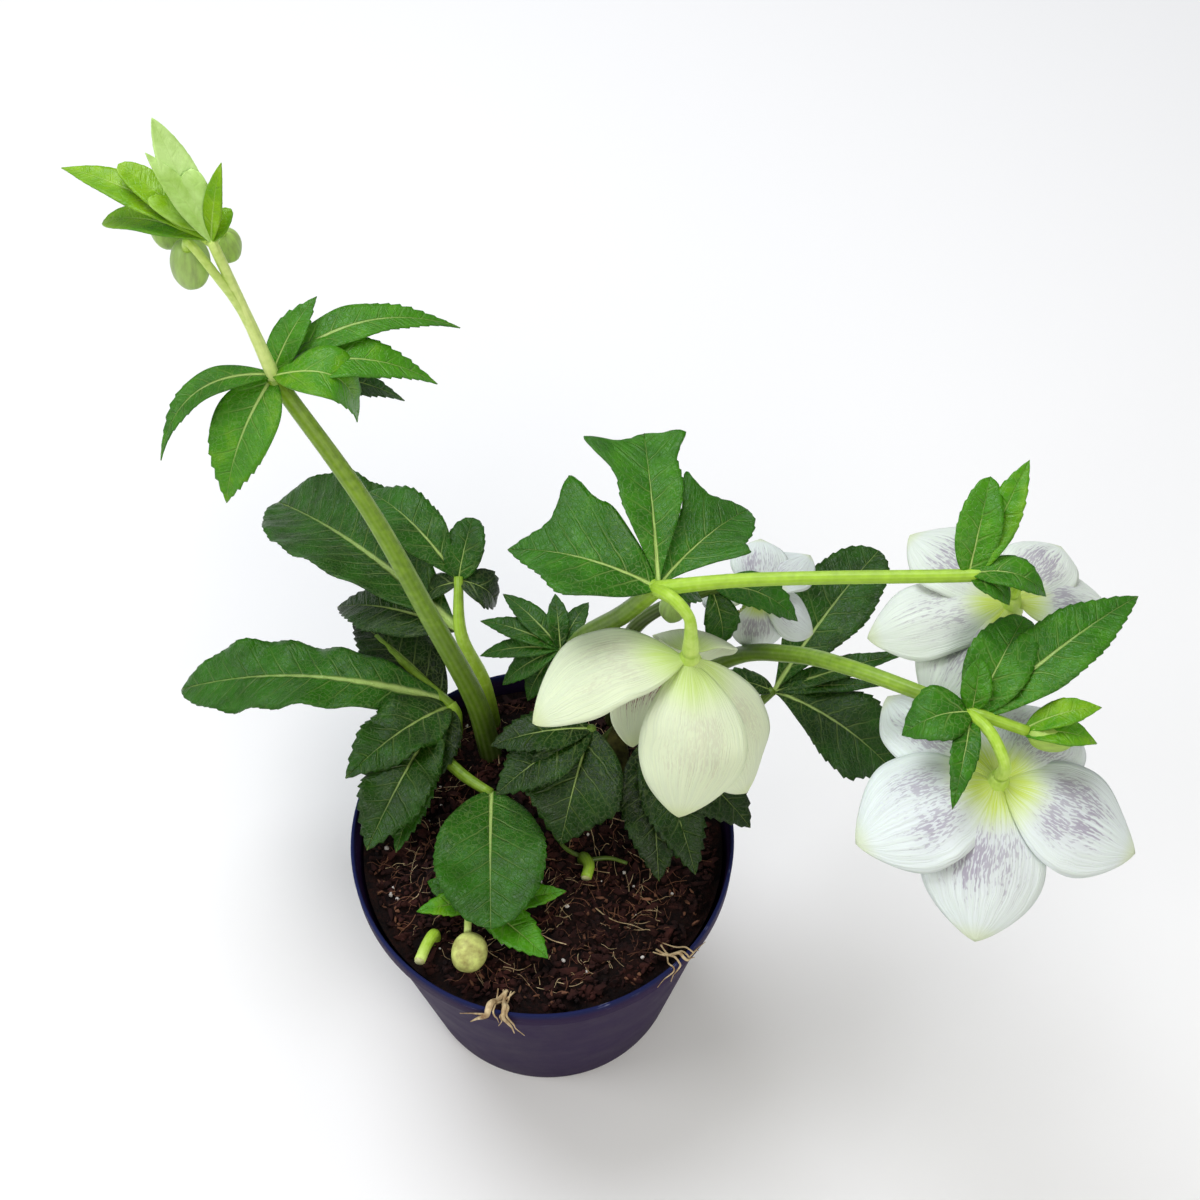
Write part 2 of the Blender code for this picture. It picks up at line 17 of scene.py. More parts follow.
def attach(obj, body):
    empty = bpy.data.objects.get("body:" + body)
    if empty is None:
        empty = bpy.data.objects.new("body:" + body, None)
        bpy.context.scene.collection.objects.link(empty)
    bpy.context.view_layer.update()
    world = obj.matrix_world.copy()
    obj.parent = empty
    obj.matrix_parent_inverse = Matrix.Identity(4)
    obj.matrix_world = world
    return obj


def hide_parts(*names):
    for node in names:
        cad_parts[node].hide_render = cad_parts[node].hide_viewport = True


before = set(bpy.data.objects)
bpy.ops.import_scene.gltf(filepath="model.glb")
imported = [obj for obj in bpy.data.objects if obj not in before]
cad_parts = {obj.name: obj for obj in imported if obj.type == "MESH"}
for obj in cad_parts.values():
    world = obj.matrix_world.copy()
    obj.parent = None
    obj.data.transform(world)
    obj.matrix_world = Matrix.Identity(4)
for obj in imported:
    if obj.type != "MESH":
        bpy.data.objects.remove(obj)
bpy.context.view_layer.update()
MM = 0.001
dice = random.Random(7)
print("parts in the frame:", len(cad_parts))

# %% [markdown]
# The camera stands in front of the plant and looks down on it at 56 degrees, as someone
# does who has the pot on the ground before them. Its place was worked out from the ellipses
# of the pot's rim and base.

# %% Camera
CAMERA_PLACE = (0.021, -0.294, 0.711)
LOOK_DOWN = 56.3
LENS = 54.0

bpy.ops.object.select_all(action="DESELECT")
bpy.ops.object.camera_add(location=CAMERA_PLACE,
                          rotation=(math.radians(90 - LOOK_DOWN), 0, 0))
camera = bpy.context.object
camera.name = "camera"
camera.data.lens = LENS
camera.data.sensor_width = 36.0
camera.data.clip_start = 0.01
bpy.context.scene.camera = camera
print("camera lens", camera.data.lens, "mm")

# %% [markdown]
# A plain pale floor and three soft lamps. The widest is a cool one, above and behind, which
# gives the leaves their bluish sheen. A warmer lamp in front opens the shadows. Colours are
# written as sRGB hex, and one function turns them into the linear values of the shaders.

# %% Floor and lights
AIM_HEIGHT = 0.15      # m, the height at which the lamps point
FLOOR_SIZE = 6.0       # m
FLOOR_DROP = 0.0005    # m that the floor lies below the pot, so that they don't flicker
SKY_STRENGTH = 0.36


def linear(colour):
    values = [int(colour[place:place + 2], 16) / 255 for place in (1, 3, 5)]
    return tuple(v / 12.92 if v <= 0.04045 else ((v + 0.055) / 1.055) ** 2.4
                 for v in values) + (1.0,)


def add_lamp(name, place, size, power, colour):
    """A round soft lamp that points at the middle of the plant."""
    bpy.ops.object.light_add(type="AREA", location=place)
    lamp = bpy.context.object
    lamp.name = name
    lamp.data.shape = "DISK"
    lamp.data.size = size
    lamp.data.energy = power
    lamp.data.color = linear(colour)[:3]
    aim = Vector((0, 0, AIM_HEIGHT)) - Vector(place)
    lamp.rotation_euler = aim.to_track_quat("-Z", "Y").to_euler()


bpy.ops.mesh.primitive_plane_add(size=FLOOR_SIZE, location=(0, 0, -FLOOR_DROP))
floor = bpy.context.object
floor.name = "floor"
floor_paint = bpy.data.materials.new("floor_pale_matt_paint")
floor_paint.use_nodes = True
floor_shader = floor_paint.node_tree.nodes["Principled BSDF"]
floor_shader.inputs["Base Color"].default_value = linear("#f7f7f6")
floor_shader.inputs["Roughness"].default_value = 0.9
floor.data.materials.append(floor_paint)

add_lamp("sky_lamp", (-0.35, 0.55, 1.5), 1.0, 16.0, "#f6f8ff")
add_lamp("front_lamp", (0.55, -0.95, 1.15), 0.9, 8.0, "#fff9f0")
add_lamp("left_lamp", (-1.2, -0.2, 0.9), 0.7, 5.0, "#ffffff")

world = bpy.data.worlds.new("studio")
bpy.context.scene.world = world
world.use_nodes = True
world.node_tree.nodes["Background"].inputs["Color"].default_value = linear("#f6f8fa")
world.node_tree.nodes["Background"].inputs["Strength"].default_value = SKY_STRENGTH
bpy.context.scene.view_settings.view_transform = "Standard"

# %% [markdown]
# Every material is a small tree of nodes that follows the surface through attributes.
# `grain` holds the place across (-1 to 1), the place along (0 to 1) and a number of its own
# for each organ. `span` holds the distance from the midrib, the distance from the foot and
# the length, all in millimetres, so vein widths and spacings are real ones. `tone` says how
# young and pale the organ is.

# %% Helpers for materials
def add_node(tree, kind, inputs=(), output=0, stops=(), **settings):
    """Adds a node with its settings and links, and returns one of its outputs.

    inputs lists sockets or fixed values for the node's inputs in order, or maps their names.
    A kind such as Math:ADD also names the operation.
    """
    kind, _, operation = kind.partition(":")
    made = tree.nodes.new("ShaderNode" + kind)
    if operation:
        made.operation = operation
    for name, value in settings.items():
        setattr(made, name, value)
    live = [socket for socket in made.inputs if socket.enabled]
    for key, value in inputs.items() if isinstance(inputs, dict) else enumerate(inputs):
        socket = live[key] if isinstance(key, int) else made.inputs[key]
        if isinstance(value, bpy.types.NodeSocket):
            tree.links.new(value, socket)
        else:
            socket.default_value = value
    for index, (place, colour) in enumerate(stops):
        points = made.color_ramp.elements
        point = points[index] if index < 2 else points.new(place)
        point.position = place
        point.color = linear(colour)
    if isinstance(output, str):
        return made.outputs[output]
    return [socket for socket in made.outputs if socket.enabled][output]


def start_material(name, roughness, specular):
    """A new material, its node adder and its Principled shader."""
    made = bpy.data.materials.new(name)
    made.use_nodes = True
    shader = made.node_tree.nodes["Principled BSDF"]
    shader.inputs["Roughness"].default_value = roughness
    shader.inputs["Specular IOR Level"].default_value = specular
    return made, partial(add_node, made.node_tree), shader


def feed(shader, **sockets):
    """Links sockets to the shader's inputs. An underscore stands for a space."""
    for name, socket in sockets.items():
        shader.id_data.links.new(socket, shader.inputs[name.replace("_", " ")])


# %% [markdown]
# A hellebore leaf is leathery, with a waxy skin over a puckered blade. The midrib is broad
# and pale at its foot and thins out to nothing near the tip. Side veins leave it at a slant,
# are clear near the midrib and fade on their way to the edge. A fine net of veins fills the
# rest. Old leaves are dark and young ones bright, so the colour comes from a ramp that reads
# the tone. The underside is paler and dull.

# %% Leaf materials
SIDE_VEIN_SPACING = 7.5    # mm along the midrib
SIDE_VEIN_SLANT = 0.75     # mm towards the tip for each mm outwards
NET_SIZE = 1.9             # mm across one mesh of the vein net
RIB_SHARE = 0.018          # half the midrib's width at its foot, as a share of the length
LEAF_TONES = ((0.0, "#0e2200"), (0.22, "#1a4000"), (0.45, "#2c6806"), (0.62, "#468a0a"),
              (0.8, "#82b010"), (1.0, "#c8ec90"))
UNDER_TONES = ((0.0, "#2b4a20"), (0.4, "#4a7a34"), (0.75, "#83b64c"), (1.0, "#c3e096"))


def make_leaf_material(name, tones, vein_colour, roughness, strength):
    made, node, shader = start_material(name, roughness, 0.27)
    grain = node("SeparateXYZ", (node("Attribute", output="Vector", attribute_name="grain"),))
    span = node("SeparateXYZ", (node("Attribute", output="Vector", attribute_name="span"),))
    across, along = grain, grain.node.outputs[1]
    out_mm, along_mm = node("Math:ABSOLUTE", (span,)), span.node.outputs[1]
    tone = node("Attribute", output="Fac", attribute_name="tone")
    place = node("TexCoord", output="Object")

    rib_share = node("MapRange", (along, 0.0, 0.8, RIB_SHARE, 0.2 * RIB_SHARE))
    rib_mm = node("Math:MULTIPLY", (rib_share, span.node.outputs[2]))
    rib = node("MapRange", (node("Math:DIVIDE", (out_mm, rib_mm)), 0.5, 1.2, 1.0, 0.0),
               interpolation_type="SMOOTHSTEP")
    wander = node("TexNoise", (place, 1 / (9 * MM), 2.0))
    slant = node("Math:MULTIPLY_ADD", (out_mm, -SIDE_VEIN_SLANT, along_mm))
    count = node("Math:DIVIDE", (node("Math:MULTIPLY_ADD", (wander, 3.0, slant)),
                                 SIDE_VEIN_SPACING))
    right_half = node("Math:GREATER_THAN", (across, 0.0))
    shifted = node("Math:ADD", (count, node("Math:MULTIPLY", (right_half, 0.45))))
    middle = node("Math:ABSOLUTE", (node("Math:SUBTRACT", (node("Math:FRACT", (shifted,)), 0.5)),))
    side = node("MapRange", (middle, 0.42, 0.49), interpolation_type="SMOOTHSTEP")
    outward = node("MapRange", (node("Math:ABSOLUTE", (across,)), 0.15, 0.85, 1.0, 0.15))
    side = node("Math:MULTIPLY", (side, outward))
    cells = node("TexVoronoi", (place, 1 / (NET_SIZE * MM)), feature="DISTANCE_TO_EDGE")
    net = node("MapRange", (cells, 0.0, 0.11, 1.0, 0.0), interpolation_type="SMOOTHSTEP")
    lesser = node("Math:MAXIMUM", (node("Math:MULTIPLY", (side, 0.34)),
                                   node("Math:MULTIPLY", (net, 0.13))))
    veins = node("Math:MAXIMUM", (rib, lesser))
    foot = node("MapRange", (along, 0.1, 0.75, 1.0, 0.3))
    pale = node("MapRange", (tone, 0.6, 0.95, strength, 0.25 * strength))
    paint = node("Math:MULTIPLY", (node("Math:MULTIPLY", (veins, foot)), pale))

    blotch = node("TexNoise", (place, 1 / (10 * MM), 4.0, 0.6))
    toned = node("Math:ADD", (tone, node("Math:MULTIPLY_ADD", (blotch, 0.44, -0.22))))
    body = node("ValToRGB", (toned,), stops=tones)
    skin = node("Mix", (paint, body, linear(vein_colour)), data_type="RGBA")
    sheen = node("TexNoise", (place, 1 / (4 * MM), 3.0))
    crease_place = node("CombineXYZ", (node("Math:DIVIDE", (slant, 1.5)),
                                       node("Math:DIVIDE", (out_mm, 5.0)),
                                       grain.node.outputs[2]))
    crease = node("TexNoise", (crease_place, 1.0, 3.0, 0.6))
    sunk = node("Math:MAXIMUM", (node("Math:MAXIMUM", (rib, side)),
                                 node("Math:MULTIPLY", (net, 0.2))))
    height = node("Math:SUBTRACT", (node("Math:MULTIPLY", (crease, 1.5)), sunk))
    relief = node("MapRange", (tone, 0.55, 0.9, 0.9, 0.2))
    feed(shader, Base_Color=skin,
         Roughness=node("Math:MULTIPLY_ADD", (sheen, 0.30, roughness - 0.15)),
         Normal=node("Bump", {"Height": height, "Distance": 0.55 * MM, "Strength": relief}))
    return made


leaf_top = make_leaf_material("leaf_waxy_upper_skin", LEAF_TONES, "#bcd67a", 0.34, 0.9)
leaf_under = make_leaf_material("leaf_dull_under_skin", UNDER_TONES, "#c4dc98", 0.55, 0.5)
print("made", leaf_top.name, "and", leaf_under.name)

# %% [markdown]
# Stems and petioles are juicy, with fine ridges along their length. They are brownish
# where they leave the compost, yellow-green along the middle and nearly cream at the
# youngest ends, so the tone along each stem is given where the stem is made.

# %% Stem material
RIDGES = 12     # ridges round a stem
STEM_TONES = ((0.0, "#2c2c0a"), (0.25, "#3c5606"), (0.5, "#688c10"), (0.75, "#a4cc34"),
              (1.0, "#ecfc9c"))

stem_skin, node, shader = start_material("stem_ridged_green_skin", 0.42, 0.4)
grain = node("SeparateXYZ", (node("Attribute", output="Vector", attribute_name="grain"),))
tone = node("Attribute", output="Fac", attribute_name="tone")
place = node("TexCoord", output="Object")
ridge = node("Math:SINE", (node("Math:MULTIPLY", (grain, math.pi * RIDGES)),))
fleck = node("TexNoise", (place, 1 / (2.5 * MM), 3.0))
toned = node("Math:ADD", (tone, node("Math:MULTIPLY_ADD", (fleck, 0.24, -0.12))))
body = node("ValToRGB", (toned,), stops=STEM_TONES)
lined = node("Mix", (node("Math:MULTIPLY_ADD", (ridge, 0.03, 0.03)), body, linear("#e6f0b4")),
             data_type="RGBA")
height = node("Math:MULTIPLY_ADD", (ridge, 0.12, fleck))
feed(shader, Base_Color=lined,
     Normal=node("Bump", {"Height": height, "Distance": 0.25 * MM, "Strength": 0.6}))
print("made", stem_skin.name)

# %% [markdown]
# A sepal looks like a petal: soft, thin and slightly waxy. It is white or cream, with a
# yellow-green flush at its foot and fine veins that fan from foot to tip. The freckles are
# short streaks along those veins. They run together over the middle of the sepal and end
# raggedly, each vein at its own place. Seen from the back they are mauve-grey, because the
# colour shines through, and inside they are crimson.

# %% Sepal materials
def make_sepal_material(name, freckle, strength, foot_colour):
    made, node, shader = start_material(name, 0.5, 0.3)
    grain = node("SeparateXYZ", (node("Attribute", output="Vector", attribute_name="grain"),))
    span = node("SeparateXYZ", (node("Attribute", output="Vector", attribute_name="span"),))
    across, along, seed = grain, grain.node.outputs[1], grain.node.outputs[2]
    out, along_mm = node("Math:ABSOLUTE", (across,)), span.node.outputs[1]
    tone = node("Attribute", output="Fac", attribute_name="tone")
    place = node("TexCoord", output="Object")

    wander = node("Math:MULTIPLY", (node("TexNoise", (place, 1 / (8 * MM), 2.0)), 0.12))
    vein = node("Math:MULTIPLY", (node("Math:ADD", (across, wander)), 19.0))
    line_place = node("CombineXYZ", (vein, node("Math:DIVIDE", (along_mm, 26.0)), seed))
    lines = node("TexNoise", (line_place, 1.6, 1.0))
    fine = node("MapRange", (lines, 0.42, 0.62))
    body = node("ValToRGB", (tone,),
                stops=((0.0, "#e0e9e8"), (0.5, "#e3ebd6"), (1.0, "#dfeac6")))
    veined = node("Mix", (node("Math:MULTIPLY", (fine, 0.22)), body, linear("#c0ccb8")),
                  data_type="RGBA")
    near = node("MapRange", (node("Math:MULTIPLY_ADD", (out, 0.10, along)), 0.10, 0.36, 1.0, 0.0),
                interpolation_type="SMOOTHSTEP")
    streaked = node("Math:MULTIPLY", (near, node("MapRange", (lines, 0.3, 0.6, 0.65, 1.0))))
    flushed = node("Mix", (streaked, veined, linear(foot_colour)), data_type="RGBA")
    tip = node("MapRange", (along, 0.86, 1.0, 0.0, 0.45), interpolation_type="SMOOTHSTEP")
    tipped = node("Mix", (tip, flushed, linear("#cfdc8c")), data_type="RGBA")

    patch = node("TexNoise", (place, 1 / (16 * MM), 1.0))
    end_place = node("CombineXYZ", (vein, 0.0, seed))
    ragged = node("Math:MULTIPLY_ADD", (node("TexNoise", (end_place, 1.1, 0.0)), 0.55, 0.42))
    start = node("MapRange", (along, 0.16, 0.36), interpolation_type="SMOOTHSTEP")
    end = node("MapRange", (node("Math:SUBTRACT", (along, ragged)), -0.14, 0.06, 1.0, 0.0))
    inner = node("MapRange", (out, 0.35, 0.92, 1.0, 0.0), interpolation_type="SMOOTHSTEP")
    patchy = node("MapRange", (patch, 0.3, 0.6, 0.35, 1.0))
    cover = node("Math:MULTIPLY", (node("Math:MULTIPLY", (start, end)),
                                   node("Math:MULTIPLY", (inner, patchy))))
    dash_place = node("CombineXYZ", (node("Math:MULTIPLY", (vein, 1.35)),
                                     node("Math:DIVIDE", (along_mm, 2.7)), seed))
    dashes = node("TexNoise", (dash_place, 1.25, 1.5))
    edge = node("Math:MULTIPLY_ADD", (cover, -0.26, 0.68))
    dots = node("MapRange", (node("Math:SUBTRACT", (dashes, edge)), -0.02, 0.045))
    dense = node("Math:MULTIPLY", (node("Math:POWER", (cover, 0.6)), strength))
    paint = node("Math:MULTIPLY", (node("Math:MULTIPLY_ADD", (dots, 0.66, 0.34)), dense))
    spotted = node("Mix", (paint, tipped, linear(freckle)), data_type="RGBA")
    shader.inputs["Subsurface Weight"].default_value = 0.10
    shader.inputs["Subsurface Radius"].default_value = (0.004, 0.005, 0.003)
    height = node("Math:MULTIPLY_ADD", (fine, 0.5, patch))
    feed(shader, Base_Color=spotted,
         Normal=node("Bump", {"Height": height, "Distance": 0.3 * MM, "Strength": 0.5}))
    return made


sepal_back = make_sepal_material("sepal_back_mauve_freckles", "#8e7f96", 0.74, "#c6db4e")
sepal_inside = make_sepal_material("sepal_inside_crimson_freckles", "#7d1240", 1.0, "#c9dc6a")
cream_back = make_sepal_material("sepal_back_cream_faint_freckles", "#b3a596", 0.30, "#c3dc77")
print("made", sepal_back.name, sepal_inside.name, cream_back.name)

# %% [markdown]
# The smaller finishes are mottled ones: powdery anthers, green pistils, the dry papery
# sheath of an old leaf, bark, perlite and straw-coloured roots. They share one recipe: two
# colours, mixed by a noise whose blotches have a real size. Closed buds are pale green with
# dusky streaks that follow their sepals.

# %% Materials of the small parts
def make_mottled(name, dark, light, size_mm, roughness, depth_mm):
    made, node, shader = start_material(name, roughness, 0.3)
    place = node("TexCoord", output="Object")
    mottle = node("TexNoise", (place, 1 / (size_mm * MM), 4.0, 0.6))
    body = node("ValToRGB", (mottle,), stops=((0.32, dark), (0.68, light)))
    feed(shader, Base_Color=body,
         Normal=node("Bump", {"Height": mottle, "Distance": depth_mm * MM, "Strength": 0.8}))
    return made


anther_dust = make_mottled("anther_pollen_cream", "#bfbd70", "#ebe8bd", 1.2, 0.8, 0.1)
pistil_green = make_mottled("pistil_green", "#7f9c3a", "#b4c860", 2.0, 0.5, 0.1)
nectary_green = make_mottled("nectary_lime", "#7da528", "#a9c84a", 1.5, 0.4, 0.05)
dry_sheath = make_mottled("sheath_dry_olive", "#2f2f10", "#5e5c2a", 3.0, 0.6, 0.3)
cut_pith = make_mottled("stem_cut_pith", "#aeb267", "#d9d8a6", 1.5, 0.8, 0.2)
bark_skin = make_mottled("bark_crumb_red_brown", "#070203", "#3f1d17", 9.0, 0.95, 0.6)
perlite_skin = make_mottled("perlite_white_grain", "#a9a49e", "#e6e2dc", 1.0, 0.7, 0.3)
coir_skin = make_mottled("coir_fibre_brown", "#331610", "#8a5f45", 9.0, 0.8, 0.1)
pale_bud = make_mottled("bud_pale_and_browned", "#9b9254", "#dbe684", 4.5, 0.5, 0.2)
fibre_skin = make_mottled("root_fibre_straw", "#8a6a45", "#dcc79b", 4.0, 0.7, 0.1)

bud_skin, node, shader = start_material("bud_closed_sepals", 0.42, 0.4)
grain = node("SeparateXYZ", (node("Attribute", output="Vector", attribute_name="grain"),))
tone = node("Attribute", output="Fac", attribute_name="tone")
place = node("TexCoord", output="Object")
streak_place = node("CombineXYZ", (node("Math:MULTIPLY", (grain, 5.0)),
                                   node("Math:MULTIPLY", (grain.node.outputs[1], 1.6)),
                                   grain.node.outputs[2]))
streak = node("TexNoise", (streak_place, 2.0, 5.0, 0.6))
body = node("ValToRGB", (tone,), stops=((0.0, "#a8c86c"), (0.5, "#9cc44c"), (1.0, "#ced47c")))
dusk = node("MapRange", (streak, 0.42, 0.72, 0.0, 0.5))
shaded = node("Mix", (dusk, body, linear("#6a6c4e")), data_type="RGBA")
feed(shader, Base_Color=shaded,
     Normal=node("Bump", {"Height": streak, "Distance": 0.2 * MM, "Strength": 0.5}))
print("made the small parts' materials")

# %% [markdown]
# Every flat organ starts as a grid primitive, and every round one as a grid that is rolled
# up. Moving single points by hand would take days, so one formula places them all with
# numpy. It is the formula that shaped the plain solids, with finer rows, so the new surface
# lies where the solid was.

# %% Helpers for surfaces
def new_grid(name, columns, rows):
    """A grid with its points' places across (-1 to 1) and along (0 to 1)."""
    bpy.ops.object.select_all(action="DESELECT")
    bpy.ops.mesh.primitive_grid_add(x_subdivisions=columns, y_subdivisions=rows, size=2)
    made = bpy.context.object
    made.name = name
    places = np.empty(len(made.data.vertices) * 3)
    made.data.vertices.foreach_get("co", places)
    places = places.reshape(-1, 3)
    return made, places[:, 0].copy(), (places[:, 1] + 1) / 2


def finish_surface(made, points, across, along, half, length, tone, *skins):
    """Puts the grid's points in place and stores what the materials read."""
    made.data.vertices.foreach_set("co", (points * MM).ravel())
    seed = np.full_like(along, dice.uniform(0, 50))
    whole = np.full_like(along, length)
    for name, parts in (("grain", (across, along, seed)),
                        ("span", (across * half, along * length, whole))):
        stored = made.data.attributes.new(name, "FLOAT_VECTOR", "POINT")
        stored.data.foreach_set("vector", np.stack(parts, axis=1).ravel())
    tones = made.data.attributes.new("tone", "FLOAT", "POINT")
    tones.data.foreach_set("value", np.full_like(along, 1.0) * tone)
    for skin in skins:
        made.data.materials.append(skin)
    made.data.update()


def apply_modifiers(made):
    bpy.context.view_layer.objects.active = made
    for modifier in list(made.modifiers):
        bpy.ops.object.modifier_apply(modifier=modifier.name)


def close_seams(made):
    """Merges the points that lie on each other and turns the faces outwards."""
    bpy.context.view_layer.objects.active = made
    bpy.ops.object.mode_set(mode="EDIT")
    bpy.ops.mesh.select_all(action="SELECT")
    bpy.ops.mesh.remove_doubles(threshold=0.03 * MM)
    bpy.ops.mesh.normals_make_consistent(inside=False)
    bpy.ops.object.mode_set(mode="OBJECT")


def joined(name, pieces, *replaced, slot):
    """One finished piece from several. It rides with the plant and replaces plain parts."""
    bpy.ops.object.select_all(action="DESELECT")
    for piece in pieces:
        piece.select_set(True)
    bpy.context.view_layer.objects.active = pieces[0]
    if len(pieces) > 1:
        bpy.ops.object.join()
    made = bpy.context.object
    made.name = name
    made.data.name = name
    bpy.ops.object.shade_smooth()
    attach(made, "root")
    if replaced:
        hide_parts(*replaced)
    print(name, len(made.data.polygons), "faces")


# %% [markdown]
# A blade is a leaflet, bract or sepal. `arch` lifts its middle, `sweep` bends it sideways
# and `fold` raises its two halves. `lobes` pushes the edge out at chosen places, as
# (side, place along, reach in mm, spread along), for leaves that are cut into lobes. Leaves
# get saw teeth that point to the tip, a groove for the midrib, a quilted surface between
# the side veins and a waved edge. Solidify gives the thickness, and gives the underside a
# material of its own.

# %% The blade
TOOTH_PITCH = 3.4      # mm between two teeth
ROWS_PER_TOOTH = 4
QUILT = 0.8            # mm that the skin swells between two side veins
GROOVE = 0.5           # mm that the midrib is sunk


def blade(base, tip, width, arch=0.0, sweep=0.0, fold=0.15, widest=0.45, blunt=0.8, point=0.9,
          tooth=1.0, toothed=0.3, wave=0.0, neck=1.6, up=(0, 0, 1), tone=0.3, quilt=QUILT,
          flutter=0.8, lobes=(), columns=14, skins=None, thickness=0.45):
    start = np.array(base, dtype=float)
    chord = np.array(tip, dtype=float) - start
    length = float(np.linalg.norm(chord))
    ahead = chord / length
    lift = np.array(up, dtype=float)
    lift = lift - lift.dot(ahead) * ahead
    lift /= np.linalg.norm(lift)
    side = np.cross(ahead, lift)
    rows = int(min(110, max(20, length * ROWS_PER_TOOTH / TOOTH_PITCH)))
    made, across, along = new_grid("blade", columns, rows)
    across = np.sign(across) * np.abs(across) ** 1.35
    inside = np.clip(along, 0.0001, 0.9999) ** (math.log(0.5) / math.log(widest))
    half = 0.5 * width * np.sin(math.pi * inside) ** np.where(inside < 0.5, blunt, point)
    half = np.where(along < 0.35, np.maximum(half, 0.5 * neck), half)
    forward = np.zeros_like(half)
    for hand, where, reach, spread in lobes:
        bulge = reach * np.exp(-((along - where) / spread) ** 2) * (across * hand > 0)
        half = half + bulge
        forward = forward + 0.6 * bulge * np.abs(across)
    half = np.where(along > 0.999, 0.05, half)
    hump = 4 * along * (1 - along)
    full = np.minimum(1, 2 * half / width)
    turn = dice.uniform(0, math.tau)
    ripple = wave * np.sin(3 * math.pi * along) * np.where(across > 0, 1.0, -0.7)
    frill = np.sin(along * length / 3.1 + turn + 1.5 * across) * np.abs(across) ** 1.5
    raised = fold * half * across ** 2 + (ripple * np.abs(across) + flutter * frill) * full
    slant = along * length - SIDE_VEIN_SLANT * np.abs(across * half)
    phase = slant / SIDE_VEIN_SPACING + 0.45 * (across > 0) + 0.5
    swell = np.abs(np.sin(math.pi * phase)) ** 0.7 * (1 - across ** 4) * np.abs(across) ** 0.3
    raised += quilt * swell * np.minimum(1, half / 6)
    raised -= min(1.0, quilt) * GROOVE * np.exp(-(across * half / 0.9) ** 2) * (1 - along)
    saw = (along * length / TOOTH_PITCH + turn) % 1.0
    growth = np.clip((along - toothed) / 0.2, 0, 1) * (along < 0.985)
    teeth = tooth * (saw - 0.35) * (np.abs(across) > 0.98) * growth * np.minimum(1, half / 4)
    points = (start + np.outer(along, chord) + np.outer(arch * hump + raised, lift)
              + np.outer(sweep * hump + (half + teeth) * across, side)
              + np.outer(0.7 * teeth + forward, ahead))
    finish_surface(made, points, across, along, half, length, tone,
                   *(skins or (leaf_top, leaf_under)))
    shell = made.modifiers.new("thickness", "SOLIDIFY")
    shell.thickness = thickness * MM
    shell.offset = 0.0
    shell.material_offset = 1
    apply_modifiers(made)
    return made


# %% [markdown]
# A stem is a grid rolled round a smooth line through a few points and closed at both ends.
# Its radius and its tone are read along the same line, so one call makes a stem that
# tapers and turns from brown to green.

# %% The tube
TUBE_SIDES = 14
ROWS_PER_STRETCH = 7
BURIED = 106    # mm, the height at which a stem starts, inside the compost
CLEAR = 113     # mm, the height at which it has left the compost


def smooth_line(points, count):
    """Places along a Catmull-Rom curve through the points."""
    knots = np.array(points, dtype=float)
    knots = np.vstack([2 * knots[0] - knots[1], knots, 2 * knots[-1] - knots[-2]])
    place = np.linspace(0, len(points) - 1, count)
    index = np.minimum(place.astype(int), len(points) - 2)
    t = (place - index)[:, None]
    a, b, c, d = (knots[index + k] for k in range(4))
    return 0.5 * (2 * b + (c - a) * t + (2 * a - 5 * b + 4 * c - d) * t ** 2
                  + (3 * b - a - 3 * c + d) * t ** 3)


def tube(points, radii, tones, skin=stem_skin, sides=TUBE_SIDES, bumps=0.0,
         stretch_rows=ROWS_PER_STRETCH):
    rows = stretch_rows * (len(points) - 1)
    made, across, along = new_grid("tube", sides, rows)
    line = smooth_line(points, rows + 1)
    slope = np.gradient(line, axis=0)
    slope /= np.linalg.norm(slope, axis=1)[:, None]
    arm = np.cross(slope[0], (0.3, 0.9, 0.2))
    arms = []
    for direction in slope:
        arm = arm - arm.dot(direction) * direction
        arm = arm / np.linalg.norm(arm)
        arms.append((arm, np.cross(direction, arm)))
    arms = np.array(arms)
    row = np.rint(along * rows).astype(int)
    radius = np.interp(along, np.linspace(0, 1, len(radii)), radii)
    radius = radius * (1 + bumps * np.sin(9 * along + 2 * across))
    radius = np.where((row == 0) | (row == rows), 0.02, radius)
    line[1] = 0.9 * line[0] + 0.1 * line[1]
    line[-2] = 0.9 * line[-1] + 0.1 * line[-2]
    angle = math.pi * across
    ring = np.cos(angle)[:, None] * arms[row, 0] + np.sin(angle)[:, None] * arms[row, 1]
    length = float(np.linalg.norm(np.diff(line, axis=0), axis=1).sum())
    tone = np.interp(along, np.linspace(0, 1, len(tones)), tones)
    finish_surface(made, line[row] + ring * radius[:, None], across, along, radius, length,
                   tone, skin)
    close_seams(made)
    return made


def from_soil(x, y, *points):
    """The line of a stem that comes straight up out of the compost and goes on from there."""
    return [(x, y, BURIED), (x, y, CLEAR), *points]


# %% [markdown]
# Buds, anthers and pistils are ovoids: a grid rolled up so that its radius swells in
# lobes, one for each sepal, and closes at both ends.

# %% The ovoid
def ovoid(centre, radii, axis=(0, 0, -1), lobes=5, depth=0.05, tone=0.0, skin=bud_skin,
          sides=30, rows=18):
    made, across, along = new_grid("ovoid", sides, rows)
    angle = math.pi * across
    swell = 1 + depth * np.abs(np.cos(0.5 * lobes * (angle + 0.5 * along))) - depth
    around = radii[0] * np.sin(math.pi * along) ** 0.9 * swell
    turn = Vector((0, 0, 1)).rotation_difference(Vector(axis).normalized()).to_matrix()
    local = np.stack([around * np.cos(angle), around * np.sin(angle),
                      -radii[1] * np.cos(math.pi * along)], axis=1)
    finish_surface(made, local @ np.array(turn).T + np.array(centre, dtype=float), across,
                   along, around, 2 * radii[1], tone, skin)
    close_seams(made)
    return made


